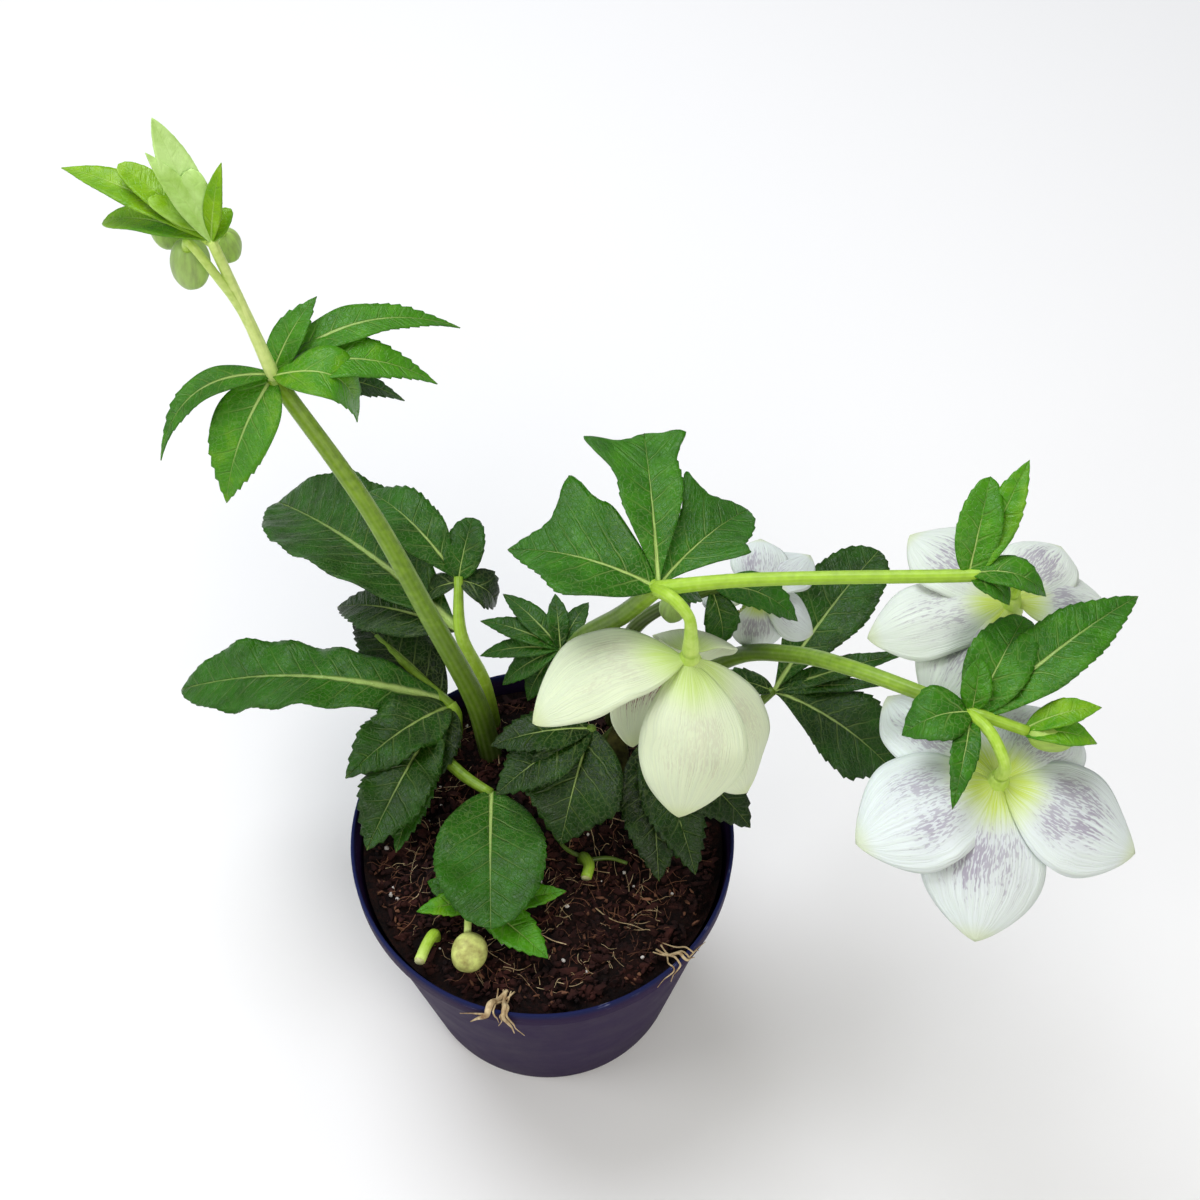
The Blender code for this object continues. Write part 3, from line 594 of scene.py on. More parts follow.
# %% [markdown]
# The tall stem on the left. It leans away from the pot, carries a ring of leafy bracts at
# its first node, and above it two cream stalks, pale bracts and three nodding buds. A row
# of the lists below is: foot, tip, width, arch, sweep and tone, and for the upper bracts
# also how sharp the tip is.

# %% Stem A
LOWER_BRACTS = [
    ((-83, 86, 271), (-120, 64, 255), 11, 9, 6, 0.52),
    ((-84, 86, 270), (-100, 56, 243), 23, 6, 0, 0.60),
    ((-84, 86, 271), (-70, 108, 284), 12, 3, 0, 0.54),
    ((-84, 87, 271), (-25, 109, 268), 15, 9, -4, 0.56),
    ((-84, 86, 271), (-32, 90, 262), 18, 10, 0, 0.58),
    ((-83, 84, 273), (-58, 79, 256), 21, 15, 0, 0.64),
    ((-84, 86, 270), (-44, 93, 250), 14, 5, 0, 0.26),
]
UPPER_BRACTS = [
    ((-94, 90, 326), (-110, 101, 351), 8, 2, 0, 0.92, 0.9),
    ((-97, 91, 330), (-111, 95, 339), 8, 1, 0, 0.85, 0.45),
    ((-97, 93, 332), (-98, 101, 345), 9, 1, 0, 0.93, 0.45),
    ((-95, 91, 326), (-108, 109, 357), 11, 1, 0, 0.98, 0.8),
    ((-95, 91, 326), (-140, 112, 335), 12, 5, 0, 0.75, 1.0),
    ((-95, 91, 326), (-121, 107, 341), 11, 2, 0, 0.76, 0.42),
    ((-95, 91, 326), (-129, 103, 322), 12, 4, 0, 0.70, 0.42),
    ((-94, 90, 326), (-88, 98, 350), 7, 1, 0, 0.76, 1.0),
    ((-94, 90, 326), (-88, 97, 333), 7, 1, 0, 0.72, 0.42),
]
stem_a = [
    tube(from_soil(-21, 38, (-25, 41, 145), (-38, 49, 185), (-57, 65, 230), (-84, 86, 271)),
         [4.6, 4.4, 4.1, 3.6, 3.1, 2.7], [0.05, 0.2, 0.36, 0.5, 0.56, 0.62]),
    tube([(-83, 85, 269), (-89, 89, 298), (-94, 90, 327)], [2.3, 1.8, 1.6], [1.0, 0.97, 0.86]),
    tube([(-84, 87, 270), (-89.5, 88.5, 298), (-94.5, 88, 314), (-99, 89, 324), (-101.5, 91, 325.5),
          (-102.5, 92, 321.5)], [1.8, 1.5, 1.4, 1.4, 1.4, 1.6], [0.97, 0.9, 0.85, 0.8, 0.75]),
    tube([(-94, 90, 325), (-105, 98, 328), (-111, 105, 326), (-112, 107, 320)],
         [1.2, 1.1, 1.1, 1.3], [0.8, 0.8]),
    tube([(-94, 90, 325), (-93, 98, 323), (-94, 105, 318), (-95, 107, 313)],
         [1.2, 1.1, 1.1, 1.3], [0.8, 0.8]),
]
for base, tip, width, arch, sweep, tone in LOWER_BRACTS:
    stem_a.append(blade(base, tip, width, arch=arch, sweep=sweep, tone=tone, toothed=0.5,
                        widest=0.40, point=1.0, quilt=0.3, flutter=0.4))
for base, tip, width, arch, sweep, tone, point in UPPER_BRACTS:
    stem_a.append(blade(base, tip, width, arch=arch, sweep=sweep, tone=tone, tooth=0.15,
                        toothed=0.5, widest=0.5, point=point, quilt=0.1, flutter=0.3))
joined("stem_a_fine", stem_a, "stem_a", slot="young_green")
for name, centre, radii, axis, tone in (
        ("bud_a1", (-103.2, 94, 313.5), (6.2, 8.8), (-0.1, -0.2, -1), 0.0),
        ("bud_a2", (-112, 108, 313.5), (5.4, 6.5), (0, 0, -1), 0.3),
        ("bud_a3", (-95, 108, 307), (4.8, 6.3), (0, 0, -1), 0.3)):
    joined(name + "_fine", [ovoid(centre, radii, axis=axis, tone=tone)], name, slot="bud")

# %% [markdown]
# The middle stem ends in the plant's largest bract leaf, cut into broad lobes that are
# themselves lobed at the top. It sends one long arm to the right, and one short hooked and
# knobbly stalk down to the bloom in the middle.

# %% Stem B
stem_b = [
    tube(from_soil(8, 35, (10, 39, 150), (13, 35, 190), (29, 23, 228), (39, 17, 252)),
         [4.0, 3.8, 3.6, 3.4, 3.2, 2.8], [0.05, 0.1, 0.2, 0.32, 0.42, 0.7]),
    tube([(38, 17, 251), (60, 13, 261), (85, 8, 270), (128, 2, 280), (135, 3, 281),
          (141, 5, 276), (145, 7, 269), (145, 7, 262)],
         [2.5, 2.2, 2.1, 2.0, 1.8, 1.7, 1.7, 1.9], [0.76, 0.7, 0.7, 0.66, 0.7, 0.8]),
    tube([(38, 17, 251), (43, 10, 256), (48, 5, 253), (49, 3, 246), (49, 3, 236.5)],
         [2.2, 2.0, 1.9, 2.1, 2.8], [0.7, 0.76, 0.8, 0.85], bumps=0.08),
    blade((39, 17, 251), (-8, 33, 249), 25, arch=6, fold=0.2, tone=0.42, wave=1, tooth=0.6,
          columns=24, lobes=((1, 0.58, 14, 0.13), (1, 0.34, 8, 0.12), (-1, 0.45, 4, 0.2))),
    blade((39, 18, 252), (35, 69, 262), 20, arch=6, fold=0.2, widest=0.6, tone=0.46, columns=24,
          tooth=0.6, point=0.6, lobes=((-1, 0.80, 11, 0.09), (1, 0.88, 6, 0.07))),
    blade((39, 18, 251), (68, 47, 251), 22, arch=5, fold=0.25, widest=0.6, tone=0.42, tooth=0.6,
          point=0.6, columns=24, lobes=((-1, 0.66, 9, 0.09), (1, 0.5, 5, 0.1))),
    blade((40, 17, 251), (53, 19, 241), 8, arch=2, tone=0.36),
    blade((128, 2, 280), (134, 25, 297), 13, arch=3, blunt=0.6, point=0.5, tone=0.58,
          tooth=0.4),
    blade((130, 2, 281), (145, 28, 301), 11, arch=2, tone=0.66, tooth=0.5),
    blade((129, 2, 281), (150, -4, 278), 12, arch=6, tone=0.52, tooth=0.5),
    blade((129, 1, 280), (139, -7, 278), 10, arch=4, tone=0.46, tooth=0.5),
]
joined("stem_b_fine", stem_b, "stem_b", slot="young_green")

# %% [markdown]
# The right stem comes up behind the middle bloom and arches forward over the edge of the
# pot. Its bracts are bright and broad, and one small bud hides among them.

# %% Stem C
stem_c = [
    tube(from_soil(22, 38, (42, 37, 150), (66, 30, 190), (82, 10, 224), (98, -11, 249),
                   (128, -30, 257), (134, -33, 258), (145, -37, 257)),
         [3.6, 3.4, 3.2, 3.0, 2.8, 2.5, 2.2, 1.9, 1.6], [0.05, 0.15, 0.3, 0.5, 0.58, 0.62, 0.7]),
    tube([(128, -30, 257), (133, -39, 260), (137, -47, 256), (137, -47, 249)],
         [1.8, 1.8, 1.8, 2.2], [0.7, 0.85], bumps=0.05),
    ovoid((151, -39, 257), (4.2, 6.5), axis=(1, -0.2, 0.1), tone=0.6),
    blade((129, -31, 258), (109, -36, 253), 18, arch=5, tone=0.46, tooth=0.5),
    blade((130, -31, 258), (146, -4, 267), 19, arch=4, blunt=0.6, point=0.5, tone=0.47,
          tooth=0.6),
    blade((129, -31, 258), (131, -19, 268), 9, arch=2, point=0.55, tone=0.52, tooth=0.4),
    blade((132, -32, 258), (180, 2, 269), 20, arch=6, tone=0.48, tooth=0.6),
    blade((129, -31, 257), (121, -60, 253), 8, arch=5, tone=0.46, tooth=0.5),
    blade((144, -36, 257), (165, -33, 264), 9, arch=3, tone=0.70, tooth=0.3, quilt=0.2),
    blade((144, -38, 257), (164, -41, 257), 9, arch=4, tone=0.66, tooth=0.3, quilt=0.2),
]
joined("stem_c_fine", stem_c, "stem_c", slot="young_green")

# %% [markdown]
# The fourth stem stays low behind the others. It carries three bract leaves, the small
# bloom at the back and, on a stalk of its own, a small grey bud.

# %% Stem D
stem_d = [
    tube(from_soil(26, 52, (28, 52, 150), (33, 42, 190), (44, 41, 206), (60, 40, 218),
                   (70, 41, 221.5), (74, 41, 219), (74, 41, 214)),
         [3.2, 3.0, 2.8, 2.6, 2.3, 2.0, 1.7, 1.6, 1.8], [0.05, 0.12, 0.22, 0.35, 0.45]),
    tube([(43, 41, 206), (46, 40, 217), (47, 36, 225), (45, 33, 226), (45, 33, 221.5)],
         [1.3, 1.1, 1.1, 1.1, 1.3], [0.4, 0.6]),
    blade((58, 40, 217), (62, 31, 196), 12, arch=4, tone=0.3),
    blade((59, 40, 218), (86, 29, 214), 14, arch=7, tone=0.42),
    blade((56, 40, 215.5), (52, 42, 194), 10, arch=3, tone=0.1),
]
joined("stem_d_fine", stem_d, "stem_d", slot="young_green")
joined("bud_grey_fine", [ovoid((45, 33, 216), (4.6, 5.8))], "bud_grey", slot="bud")

# %% [markdown]
# An open bloom is five broad sepals round a small receptacle. All of the blooms nod, so
# from above their backs show. Each sepal is a blade with smooth edges that is cupped
# inwards, and whose inner side has its own material. The heart below it is a tuft of
# stamens round a few pistils, with a ring of small green nectaries.

# %% Blooms
STAMENS = 54
NECTARIES = 11
GOLDEN_TURN = 2.39996    # radians from one stamen to the next
HEART_DROP = 4.8         # mm from a bloom's centre down to its stamens
STAMEN_LENGTH = 11.0


def make_bloom(name, centre, sepals, arch, tone, back):
    """A sepal is given by its tip, its width and how far it bends sideways.

    A fourth value turns it: the direction in which its back then faces.
    """
    middle = np.array(centre, dtype=float)
    above, below = middle + (0, 0, 4), middle - (0, 0, 3)
    pieces = [tube([above, middle, below], [2.4, 3.6, 4.6], [0.8, 0.88])]
    for index, (tip, width, sweep, *facing) in enumerate(sepals):
        level = (np.array(tip, dtype=float) - middle) * (1, 1, 0)
        level /= np.linalg.norm(level)
        start = middle + level * 2.2 + (0, 0, 0.8 - 0.4 * (index % 2))
        pieces.append(blade(start, tip, width, arch=arch, sweep=sweep, fold=-0.28, widest=0.52,
                            blunt=0.62, point=0.78, tooth=0.0, neck=4.5, quilt=0.0, flutter=0.6,
                            wave=0.8, columns=24, tone=tone, skins=(back, sepal_inside),
                            thickness=0.5, up=facing[0] if facing else (0, 0, 1)))
    joined("bloom_" + name + "_fine", pieces, "bloom_" + name,
           slot="sepal_cream" if tone > 0.5 else "sepal_white")


def make_heart(name, centre):
    middle = np.array(centre, dtype=float) - (0, 0, HEART_DROP)
    pieces = [ovoid(middle - (0, 0, 0.1), (3.4, 1.9), skin=pistil_green, sides=12, rows=6)]
    for index in range(STAMENS + NECTARIES):
        share = min(1.0, index / STAMENS)
        outward = np.array((math.cos(index * GOLDEN_TURN), math.sin(index * GOLDEN_TURN), 0))
        spread = 0.10 + 0.42 * math.sqrt(share)
        root = middle + outward * 5 * spread
        heading = outward * spread - (0, 0, 1)
        length = STAMEN_LENGTH - 1.5 * share + dice.uniform(-1.0, 1.0)
        if index < STAMENS:
            end = root + heading / np.linalg.norm(heading) * length
            pieces.append(tube([root, (root + end) / 2, end], [0.3, 0.25, 0.22], [0.9, 1.0],
                               sides=5))
            pieces.append(ovoid(end, (0.7, 1.2), skin=anther_dust, sides=6, rows=5))
        else:
            end = root + outward * 1.8 - (0, 0, 3.2)
            pieces.append(tube([root, (root + end) / 2, end], [0.5, 0.8, 1.0], [0.7, 0.7],
                               skin=nectary_green, sides=8))
    joined("heart_" + name + "_fine", pieces, "heart_" + name, slot="heart")


BLOOMS = {
    "middle": ((49, 3, 233), [((0, -13, 220), 30, 5), ((46, -34, 197), 34, -3),
                              ((69, -19, 185), 30, 0), ((53, 26, 192), 28, 0),
                              ((32, -1, 183), 27, 0, (-0.3, 1, 0.3))], 9, 1.0,
               cream_back),
    "right": ((137, -47, 245), [((96, -61, 233), 38, 1), ((129, -88, 225), 36, 1),
                                ((177, -64, 233), 36, 0), ((164, -14, 228), 32, 0),
                                ((111, -7, 226), 32, 0)], 5, 0.05, sepal_back),
    "upper": ((145, 7, 258), [((103, 2, 246), 28, 0), ((121, -22, 241), 32, 0),
                              ((179, 12, 246), 30, 0), ((165, 32, 252), 24, 0),
                              ((118, 35, 254), 28, 0)], 5, 0.25, sepal_back),
    "back": ((74, 41, 210), [((74, 30, 194), 18, 0), ((93, 35, 197), 18, 0),
                             ((93, 61, 206), 18, 0), ((76, 65, 210), 20, 0),
                             ((56, 52, 198), 18, 0)], 3, 0.1, sepal_back),
}
for name, (centre, sepals, arch, tone, back) in BLOOMS.items():
    make_bloom(name, centre, sepals, arch, tone, back)
    make_heart(name, centre)

# %% [markdown]
# The basal leaves are older, darker and larger than the bracts. Each has a petiole from
# the crown and leaflets that spread from its end like fingers. Their skin is the most
# quilted, and their edges wave.

# %% Basal leaves
leaf_north = [
    tube(from_soil(-20, 51, (-23, 55, 135), (-30, 62, 155), (-31, 80, 166)),
         [2.8, 2.6, 2.7, 2.4, 1.6], [0.3, 0.5, 0.75, 0.75, 0.6]),
    blade((-30, 62, 155), (-109, 142, 128), 46, arch=10, fold=0.42, wave=2.5, widest=0.6,
          point=0.62, tone=0.28, quilt=1.2, flutter=1.4, tooth=0.6, columns=18),
    blade((-32, 64, 154), (-80, 88, 133), 26, arch=6, tone=0.16, quilt=0.7),
    blade((-31, 79, 165), (-66, 117, 168), 22, arch=8, wave=1.5, widest=0.55, point=0.7, tone=0.34),
    blade((-31, 79, 165), (-26, 102, 172), 15, arch=3, blunt=0.55, point=0.45, tone=0.32,
          tooth=0.5),
    blade((-31, 79, 165), (-18, 76, 152), 16, arch=5, tone=0.12, tooth=1.4),
    blade((-31, 78, 165), (-44, 78, 150), 12, arch=4, tone=0.12, tooth=1.4),
]
joined("leaf_north_fine", leaf_north, "leaf_north", slot="leaf_green")

leaf_west = [
    tube(from_soil(-34, 47, (-34, 50, 117), (-36, 53, 119)),
         [2.8, 2.6, 2.5, 2.4], [0.3, 0.6, 0.75]),
    tube([(-35, 52, 118.5), (-52, 66, 124), (-66, 82, 122)], [2.2, 1.7, 1.2], [0.62, 0.5]),
    blade((-38, 55, 119), (-76, 92, 117), 26, arch=6, wave=1, tone=0.06, quilt=0.8),
    blade((-35, 53, 119), (-142, 66, 108), 32, arch=15, fold=0.1, wave=4.5, widest=0.6,
          blunt=0.6, point=0.62, tone=0.38, quilt=1.2, flutter=1.8, tooth=0.5, columns=18),
    blade((-36, 52, 119), (-72, 17, 127), 26, arch=6, wave=2, tone=0.24, quilt=1.4,
          flutter=1.8, columns=18),
    blade((-36, 52, 119), (-63, -9, 121), 26, arch=7, wave=1.5, widest=0.6, tone=0.2,
          quilt=1.4, flutter=1.8, tooth=1.4, columns=18),
    blade((-36, 52, 119), (-53, -8, 117), 14, arch=5, widest=0.6, tone=0.3, tooth=1.4),
    blade((-36, 51, 119), (-40, 21, 117), 14, arch=3, tone=0.08, tooth=1.3),
]
joined("leaf_west_fine", leaf_west, "leaf_west", slot="leaf_green")

leaf_centre = [tube(from_soil(9, 48, (7, 46, 150), (7, 45, 172)),
                    [1.9, 1.8, 1.6, 1.5], [0.05, 0.08, 0.4])]
for tip, width in (((-14, 68, 172), 9), ((-22, 59, 168), 9), ((-22, 48, 162), 9),
                   ((-14, 40, 155), 11), ((-5, 37, 149), 10), ((5, 64, 178), 8),
                   ((17, 63, 174), 8), ((15, 52, 164), 7)):
    leaf_centre.append(blade((7, 45, 171.5), tip, width, arch=3, tone=0.32, tooth=0.5,
                             toothed=0.5, quilt=0.15, flutter=0.3, columns=10))
joined("leaf_centre_fine", leaf_centre, "leaf_centre", slot="leaf_green")

leaf_front = [
    tube(from_soil(18, 22, (18, 24, 130), (18, 26, 149)), [2.3, 2.2, 2.0, 1.6], [0.1, 0.2, 0.4]),
    blade((18, 26, 148), (7, -11, 130), 34, arch=5, wave=1.5, tone=0.12, tooth=1.2, columns=18,
          lobes=((1, 0.55, 2, 0.12), (-1, 0.6, 2, 0.12))),
    blade((18, 26, 148), (-18, 20, 146), 17, arch=4, tone=0.12, tooth=1.2),
    blade((18, 26, 148), (-16, 4, 139), 22, arch=4, tone=0.14, tooth=1.2),
]
joined("leaf_front_fine", leaf_front, "leaf_front", slot="leaf_green")

leaf_front_low = [
    tube(from_soil(-40, 36, (-38, 32, 116), (-29, 22, 119), (-19, 14, 121)),
         [2.5, 2.4, 2.4, 2.2, 1.8], [0.3, 0.5, 0.55]),
    blade((-19, 15, 121), (-17, -42, 127), 40, arch=5, wave=1.5, widest=0.55, blunt=0.6,
          point=0.5, tone=0.36, tooth=0.7, toothed=0.1, flutter=1.0, columns=18),
]
joined("leaf_front_low_fine", leaf_front_low, "leaf_front_low", slot="leaf_green")

leaf_south_east = [
    tube(from_soil(37, 22, (37, 25, 128), (38, 27, 139)), [2.5, 2.4, 2.2, 1.8], [0.1, 0.2, 0.4]),
    blade((38, 27, 138), (42, -21, 121), 24, arch=6, wave=1, tone=0.04, tooth=1.2),
    blade((38, 27, 138), (55, -19, 122), 22, arch=7, wave=1, tone=0.1, tooth=1.5),
    blade((38, 27, 138), (75, -3, 127), 28, arch=7, wave=1, tone=0.08, tooth=1.2),
]
joined("leaf_south_east_fine", leaf_south_east, "leaf_south_east", slot="leaf_green")

leaf_east = [
    tube(from_soil(46, 31, (52, 33, 117), (66, 35, 127), (84, 41, 150)),
         [2.3, 2.2, 2.2, 2.0, 1.7], [0.1, 0.2, 0.4]),
    blade((84, 41, 149), (124, 90, 168), 28, arch=6, fold=0.25, wave=1.5, widest=0.6,
          point=0.5, tone=0.26, tooth=0.7, toothed=0.15),
    blade((84, 41, 149), (128, 10, 140), 30, arch=8, wave=1.5, widest=0.6, tone=0.22,
          tooth=1.3, lobes=((1, 0.7, 3, 0.08),)),
    blade((84, 41, 149), (122, 38, 158), 7, arch=2, tone=0.25, tooth=0.3),
    blade((84, 41, 149), (132, 49, 163), 9, arch=2, tone=0.25, tooth=0.3),
    blade((84, 41, 149), (62, 44, 154), 10, arch=2, tone=0.2),
]
joined("leaf_east_fine", leaf_east, "leaf_east", slot="leaf_green")

# %% [markdown]
# At the front edge a new shoot opens its first bright leaflets beside a pale bud. Two
# stems were cut off short, so their ends show pith, and one old leaf base has dried to an
# olive sheath.

# %% Young shoot and old growth
young_shoot = [
    tube(from_soil(-24, -26, (-22, -28, 115), (-19, -30, 117)), [2.1, 2.0, 2.0, 1.6], [0.6, 0.8]),
    tube([(-23, -27, 114.5), (-25.5, -33, 117.5), (-25.7, -39.5, 117.9)], [1.4, 1.3, 1.3],
         [0.8, 0.95]),
    blade((-23, -27, 115), (-44, -32, 119), 9, arch=2, tone=0.62, tooth=0.6),
    blade((-23, -27, 115), (-41, -19, 116), 12, arch=2, tone=0.38, tooth=0.8),
    blade((-20, -29, 116.5), (9, -25, 121), 10, arch=1, tone=0.62, tooth=0.6),
    blade((-20, -29, 116.5), (3, -50, 120), 14, arch=2, tone=0.58, tooth=0.9, toothed=0.15),
    blade((-21, -29, 116), (-8, -42, 116), 10, arch=1, tone=0.5, tooth=0.5),
]
joined("young_shoot_fine", young_shoot, "young_shoot", slot="young_green")
joined("shoot_bud_fine", [
    ovoid((-25.0, -46.5, 117.3), (6.6, 7.1), axis=(-0.25, -1, -0.05), lobes=3, depth=0.10,
          skin=pale_bud),
], "shoot_bud", slot="bud")

joined("stub_left_fine", [
    tube(from_soil(-38, -38, (-40, -43, 116), (-42, -50, 118)),
         [2.2, 2.1, 2.0, 2.0], [0.6, 0.75, 0.85]),
    tube([(-42, -49.8, 117.9), (-42.1, -50.4, 118.1)], [1.8, 1.7], [1.0, 1.0], skin=cut_pith),
], "stub_left", slot="stalk")
joined("stub_middle_fine", [
    tube(from_soil(15, -8, (17, -12, 115), (16, -17, 115)), [2.3, 2.2, 2.1, 2.0], [0.3, 0.5, 0.75]),
    tube([(16, -16.8, 115), (16, -17.4, 115)], [1.8, 1.7], [1.0, 1.0], skin=cut_pith),
    tube([(16, -9, 112.6), (24, -8, 112.6), (31, -10, 112.4)], [0.9, 0.8, 0.6], [0.25, 0.35]),
    tube([(15, -8, 112.8), (9, -5, 113.4), (5, 0, 112.6)], [0.9, 0.8, 0.6], [0.25, 0.35]),
], "stub_middle", slot="stalk")
joined("old_sheath_fine", [
    tube(from_soil(27, 22, (26.5, 24, 122)), [1.7, 1.6, 1.4], [0.1, 0.2]),
    blade((27, 22, 113), (27, 31, 146), 9, up=(0, -1, 0.2), fold=0.4, tooth=0.0, blunt=0.5,
          neck=4, quilt=0.1, skins=(dry_sheath, dry_sheath), thickness=0.6),
], "old_sheath", slot="dry_sheath")

# %% [markdown]
# The pot is thin injection-moulded polypropylene, dark violet, and has a band below the rim.
# Its lip is painted bluer: a painted bluish highlight along the top of the rim. The pot starts
# as a disc, the underside. The disc's face is extruded again and again, and resized each time
# to the next radius of the profile: up the outside, over the lip, down the inside and across
# the floor. Drain holes are then cut. The plastic is satin, with fine scuffs and dust that run round
# it.

# %% Pot
POT_RADIUS = 70.0
POT_HEIGHT = 117.0
POT_BASE = 52.0
WALL = 1.3
BAND_DEPTH = 9.0
BAND_STEP = 1.6
POT_SIDES = 144
DRAIN_HOLES = 6
DRAIN_RING = 36.0
DRAIN_RADIUS = 4.0

pot_plastic, node, shader = start_material("pot_moulded_polypropylene", 0.45, 0.01)
place = node("TexCoord", output="Object")
height = node("SeparateXYZ", (place,), output=2)
# Painted highlight: the top few mm of the lip are mixed towards navy blue, standing for sky light on
# the rim.
lip = node("MapRange", (height, (POT_HEIGHT - 4) * MM, (POT_HEIGHT - 0.5) * MM))
cloud = node("TexNoise", (place, 1 / (22 * MM), 4.0, 0.6))
body = node("ValToRGB", (cloud,), stops=((0.3, "#29193a"), (0.7, "#302142")))
with_painted_lip_highlight = node("Mix", (lip, body, linear("#232850")), data_type="RGBA")
drawn = node("Mapping", {"Vector": place, "Scale": (0.2, 0.2, 2.2)})
scratch = node("TexNoise", (drawn, 1 / (1.6 * MM), 2.0, 0.7))
near_lip = node("MapRange", (height, (POT_HEIGHT - 40) * MM, (POT_HEIGHT - 8) * MM, 0.05, 0.55))
scuffs = node("Math:MULTIPLY", (node("MapRange", (scratch, 0.66, 0.76)), near_lip))
worn = node("Mix", (scuffs, with_painted_lip_highlight, linear("#8b8ea8")), data_type="RGBA")
grit = node("TexNoise", (place, 1 / (0.8 * MM), 1.0))
feed(shader, Base_Color=worn, Roughness=node("Math:MULTIPLY_ADD", (cloud, 0.3, 0.28)),
     Normal=node("Bump", {"Height": node("Math:ADD", (scratch, grit)), "Distance": 0.08 * MM,
                          "Strength": 0.5}))


def turned(name, profile, sides, skin):
    """A closed body: a disc that is extruded and resized along (radius, height) stations."""
    bpy.ops.object.select_all(action="DESELECT")
    radius, level = profile[0]
    bpy.ops.mesh.primitive_circle_add(vertices=sides, radius=radius * MM, fill_type="NGON",
                                      location=(0, 0, level * MM))
    made = bpy.context.object
    made.name = name
    bpy.ops.object.mode_set(mode="EDIT")
    bpy.ops.mesh.select_all(action="SELECT")
    for next_radius, next_level in profile[1:]:
        rise = (0, 0, (next_level - level) * MM)
        bpy.ops.mesh.extrude_region_move(TRANSFORM_OT_translate={"value": rise})
        growth = next_radius / radius
        bpy.ops.transform.resize(value=(growth, growth, 1),
                                 center_override=(0, 0, next_level * MM))
        radius, level = next_radius, next_level
    bpy.ops.object.mode_set(mode="OBJECT")
    bpy.ops.object.transform_apply(location=True, rotation=True, scale=True)
    made.data.materials.append(skin)
    close_seams(made)
    return made


band_low = POT_HEIGHT - BAND_DEPTH
body_top = POT_RADIUS - BAND_STEP
pot = turned("pot_fine", [
    (POT_BASE - 2, 0), (POT_BASE - 0.6, 0.5), (POT_BASE, 2.0), (body_top - 0.4, band_low - 2.4),
    (body_top, band_low - 1.4), (body_top + 0.5, band_low - 0.9), (POT_RADIUS - 0.5, band_low - 0.5),
    (POT_RADIUS - 0.1, band_low + 0.2), (POT_RADIUS, POT_HEIGHT - 1.0),
    (POT_RADIUS - 0.15, POT_HEIGHT - 0.35), (POT_RADIUS - 0.65, POT_HEIGHT),
    (POT_RADIUS - 1.15, POT_HEIGHT - 0.35), (POT_RADIUS - WALL, POT_HEIGHT - 1.0),
    (POT_RADIUS - WALL - 0.6, band_low), (POT_BASE - WALL, 1.5 * WALL)], POT_SIDES, pot_plastic)

for index in range(DRAIN_HOLES):
    angle = math.tau * (index + 0.5) / DRAIN_HOLES
    bpy.ops.object.select_all(action="DESELECT")
    bpy.ops.mesh.primitive_cylinder_add(
        vertices=32, radius=DRAIN_RADIUS * MM, depth=8 * MM,
        location=(DRAIN_RING * MM * math.cos(angle), DRAIN_RING * MM * math.sin(angle), MM))
    drill = bpy.context.object
    cut = pot.modifiers.new("drain", "BOOLEAN")
    cut.object = drill
    cut.operation = "DIFFERENCE"
    apply_modifiers(pot)
    bpy.data.objects.remove(drill, do_unlink=True)
joined("pot_fine", [pot], "pot", slot="pot_plastic")
bpy.ops.object.shade_smooth_by_angle(angle=math.radians(40))

# %% [markdown]
# The compost is peat, bark and coir, nearly black with red-brown bits. A turned body fills
# the pot and rises a little towards the middle. Three sizes of cloud noise push its top up
# and down into clods, crumbs and grit.

# %% Compost body
SOIL_EDGE = 107.5
SOIL_MOUND = 2.5
SOIL_RADIUS = 66.2
SOIL_RINGS = 60
SOIL_SIDES = 160
SOIL_TOP = 106.0     # mm, above this height the compost is lumpy


def soil_height(radius):
    return SOIL_EDGE + SOIL_MOUND * math.cos(min(1.0, radius / SOIL_RADIUS) * math.pi / 2)


compost_skin, node, shader = start_material("compost_peat_and_bark", 0.92, 0.2)
place = node("TexCoord", output="Object")
coarse = node("TexNoise", (place, 1 / (9 * MM), 5.0, 0.65))
fine = node("TexNoise", (place, 1 / (1.4 * MM), 4.0, 0.7))
mixed = node("Math:MULTIPLY_ADD", (fine, 0.5, node("Math:MULTIPLY", (coarse, 0.5))))
earth = node("ValToRGB", (mixed,), stops=((0.38, "#070304"), (0.48, "#140907"),
                                         (0.60, "#27110c"), (0.72, "#4a271d")))
feed(shader, Base_Color=earth,
     Normal=node("Bump", {"Height": mixed, "Distance": 2.5 * MM, "Strength": 1.0}))

stations = [(POT_BASE - WALL - 0.5, 2.3), (SOIL_RADIUS, SOIL_EDGE - 2)]
for ring in range(SOIL_RINGS):
    radius = SOIL_RADIUS * (1 - ring / SOIL_RINGS)
    stations.append((radius, soil_height(radius)))
soil = turned("soil", stations, SOIL_SIDES, compost_skin)
top = soil.vertex_groups.new(name="top")
top.add([v.index for v in soil.data.vertices
         if v.co.z > SOIL_TOP * MM and v.co.xy.length < (SOIL_RADIUS - 1.0) * MM], 1.0, "REPLACE")
for label, size, strength in (("clods", 0.016, 3.2), ("crumbs", 0.005, 3.0), ("grit", 0.0022, 1.4)):
    lumps = bpy.data.textures.new(label, "CLOUDS")
    lumps.noise_scale = size
    push = soil.modifiers.new(label, "DISPLACE")
    push.texture = lumps
    push.texture_coords = "LOCAL"
    push.direction = "Z"
    push.mid_level = 0.55
    push.strength = strength * MM
    push.vertex_group = "top"
apply_modifiers(soil)
print("compost body", len(soil.data.polygons), "faces")

# %% [markdown]
# Loose crumbs of bark, brown chips and white grains of perlite are modelled a few times
# each and copied over the compost, turned and sized at random with a fixed seed. Fibres
# and roots are thin tubes that wander over the top.

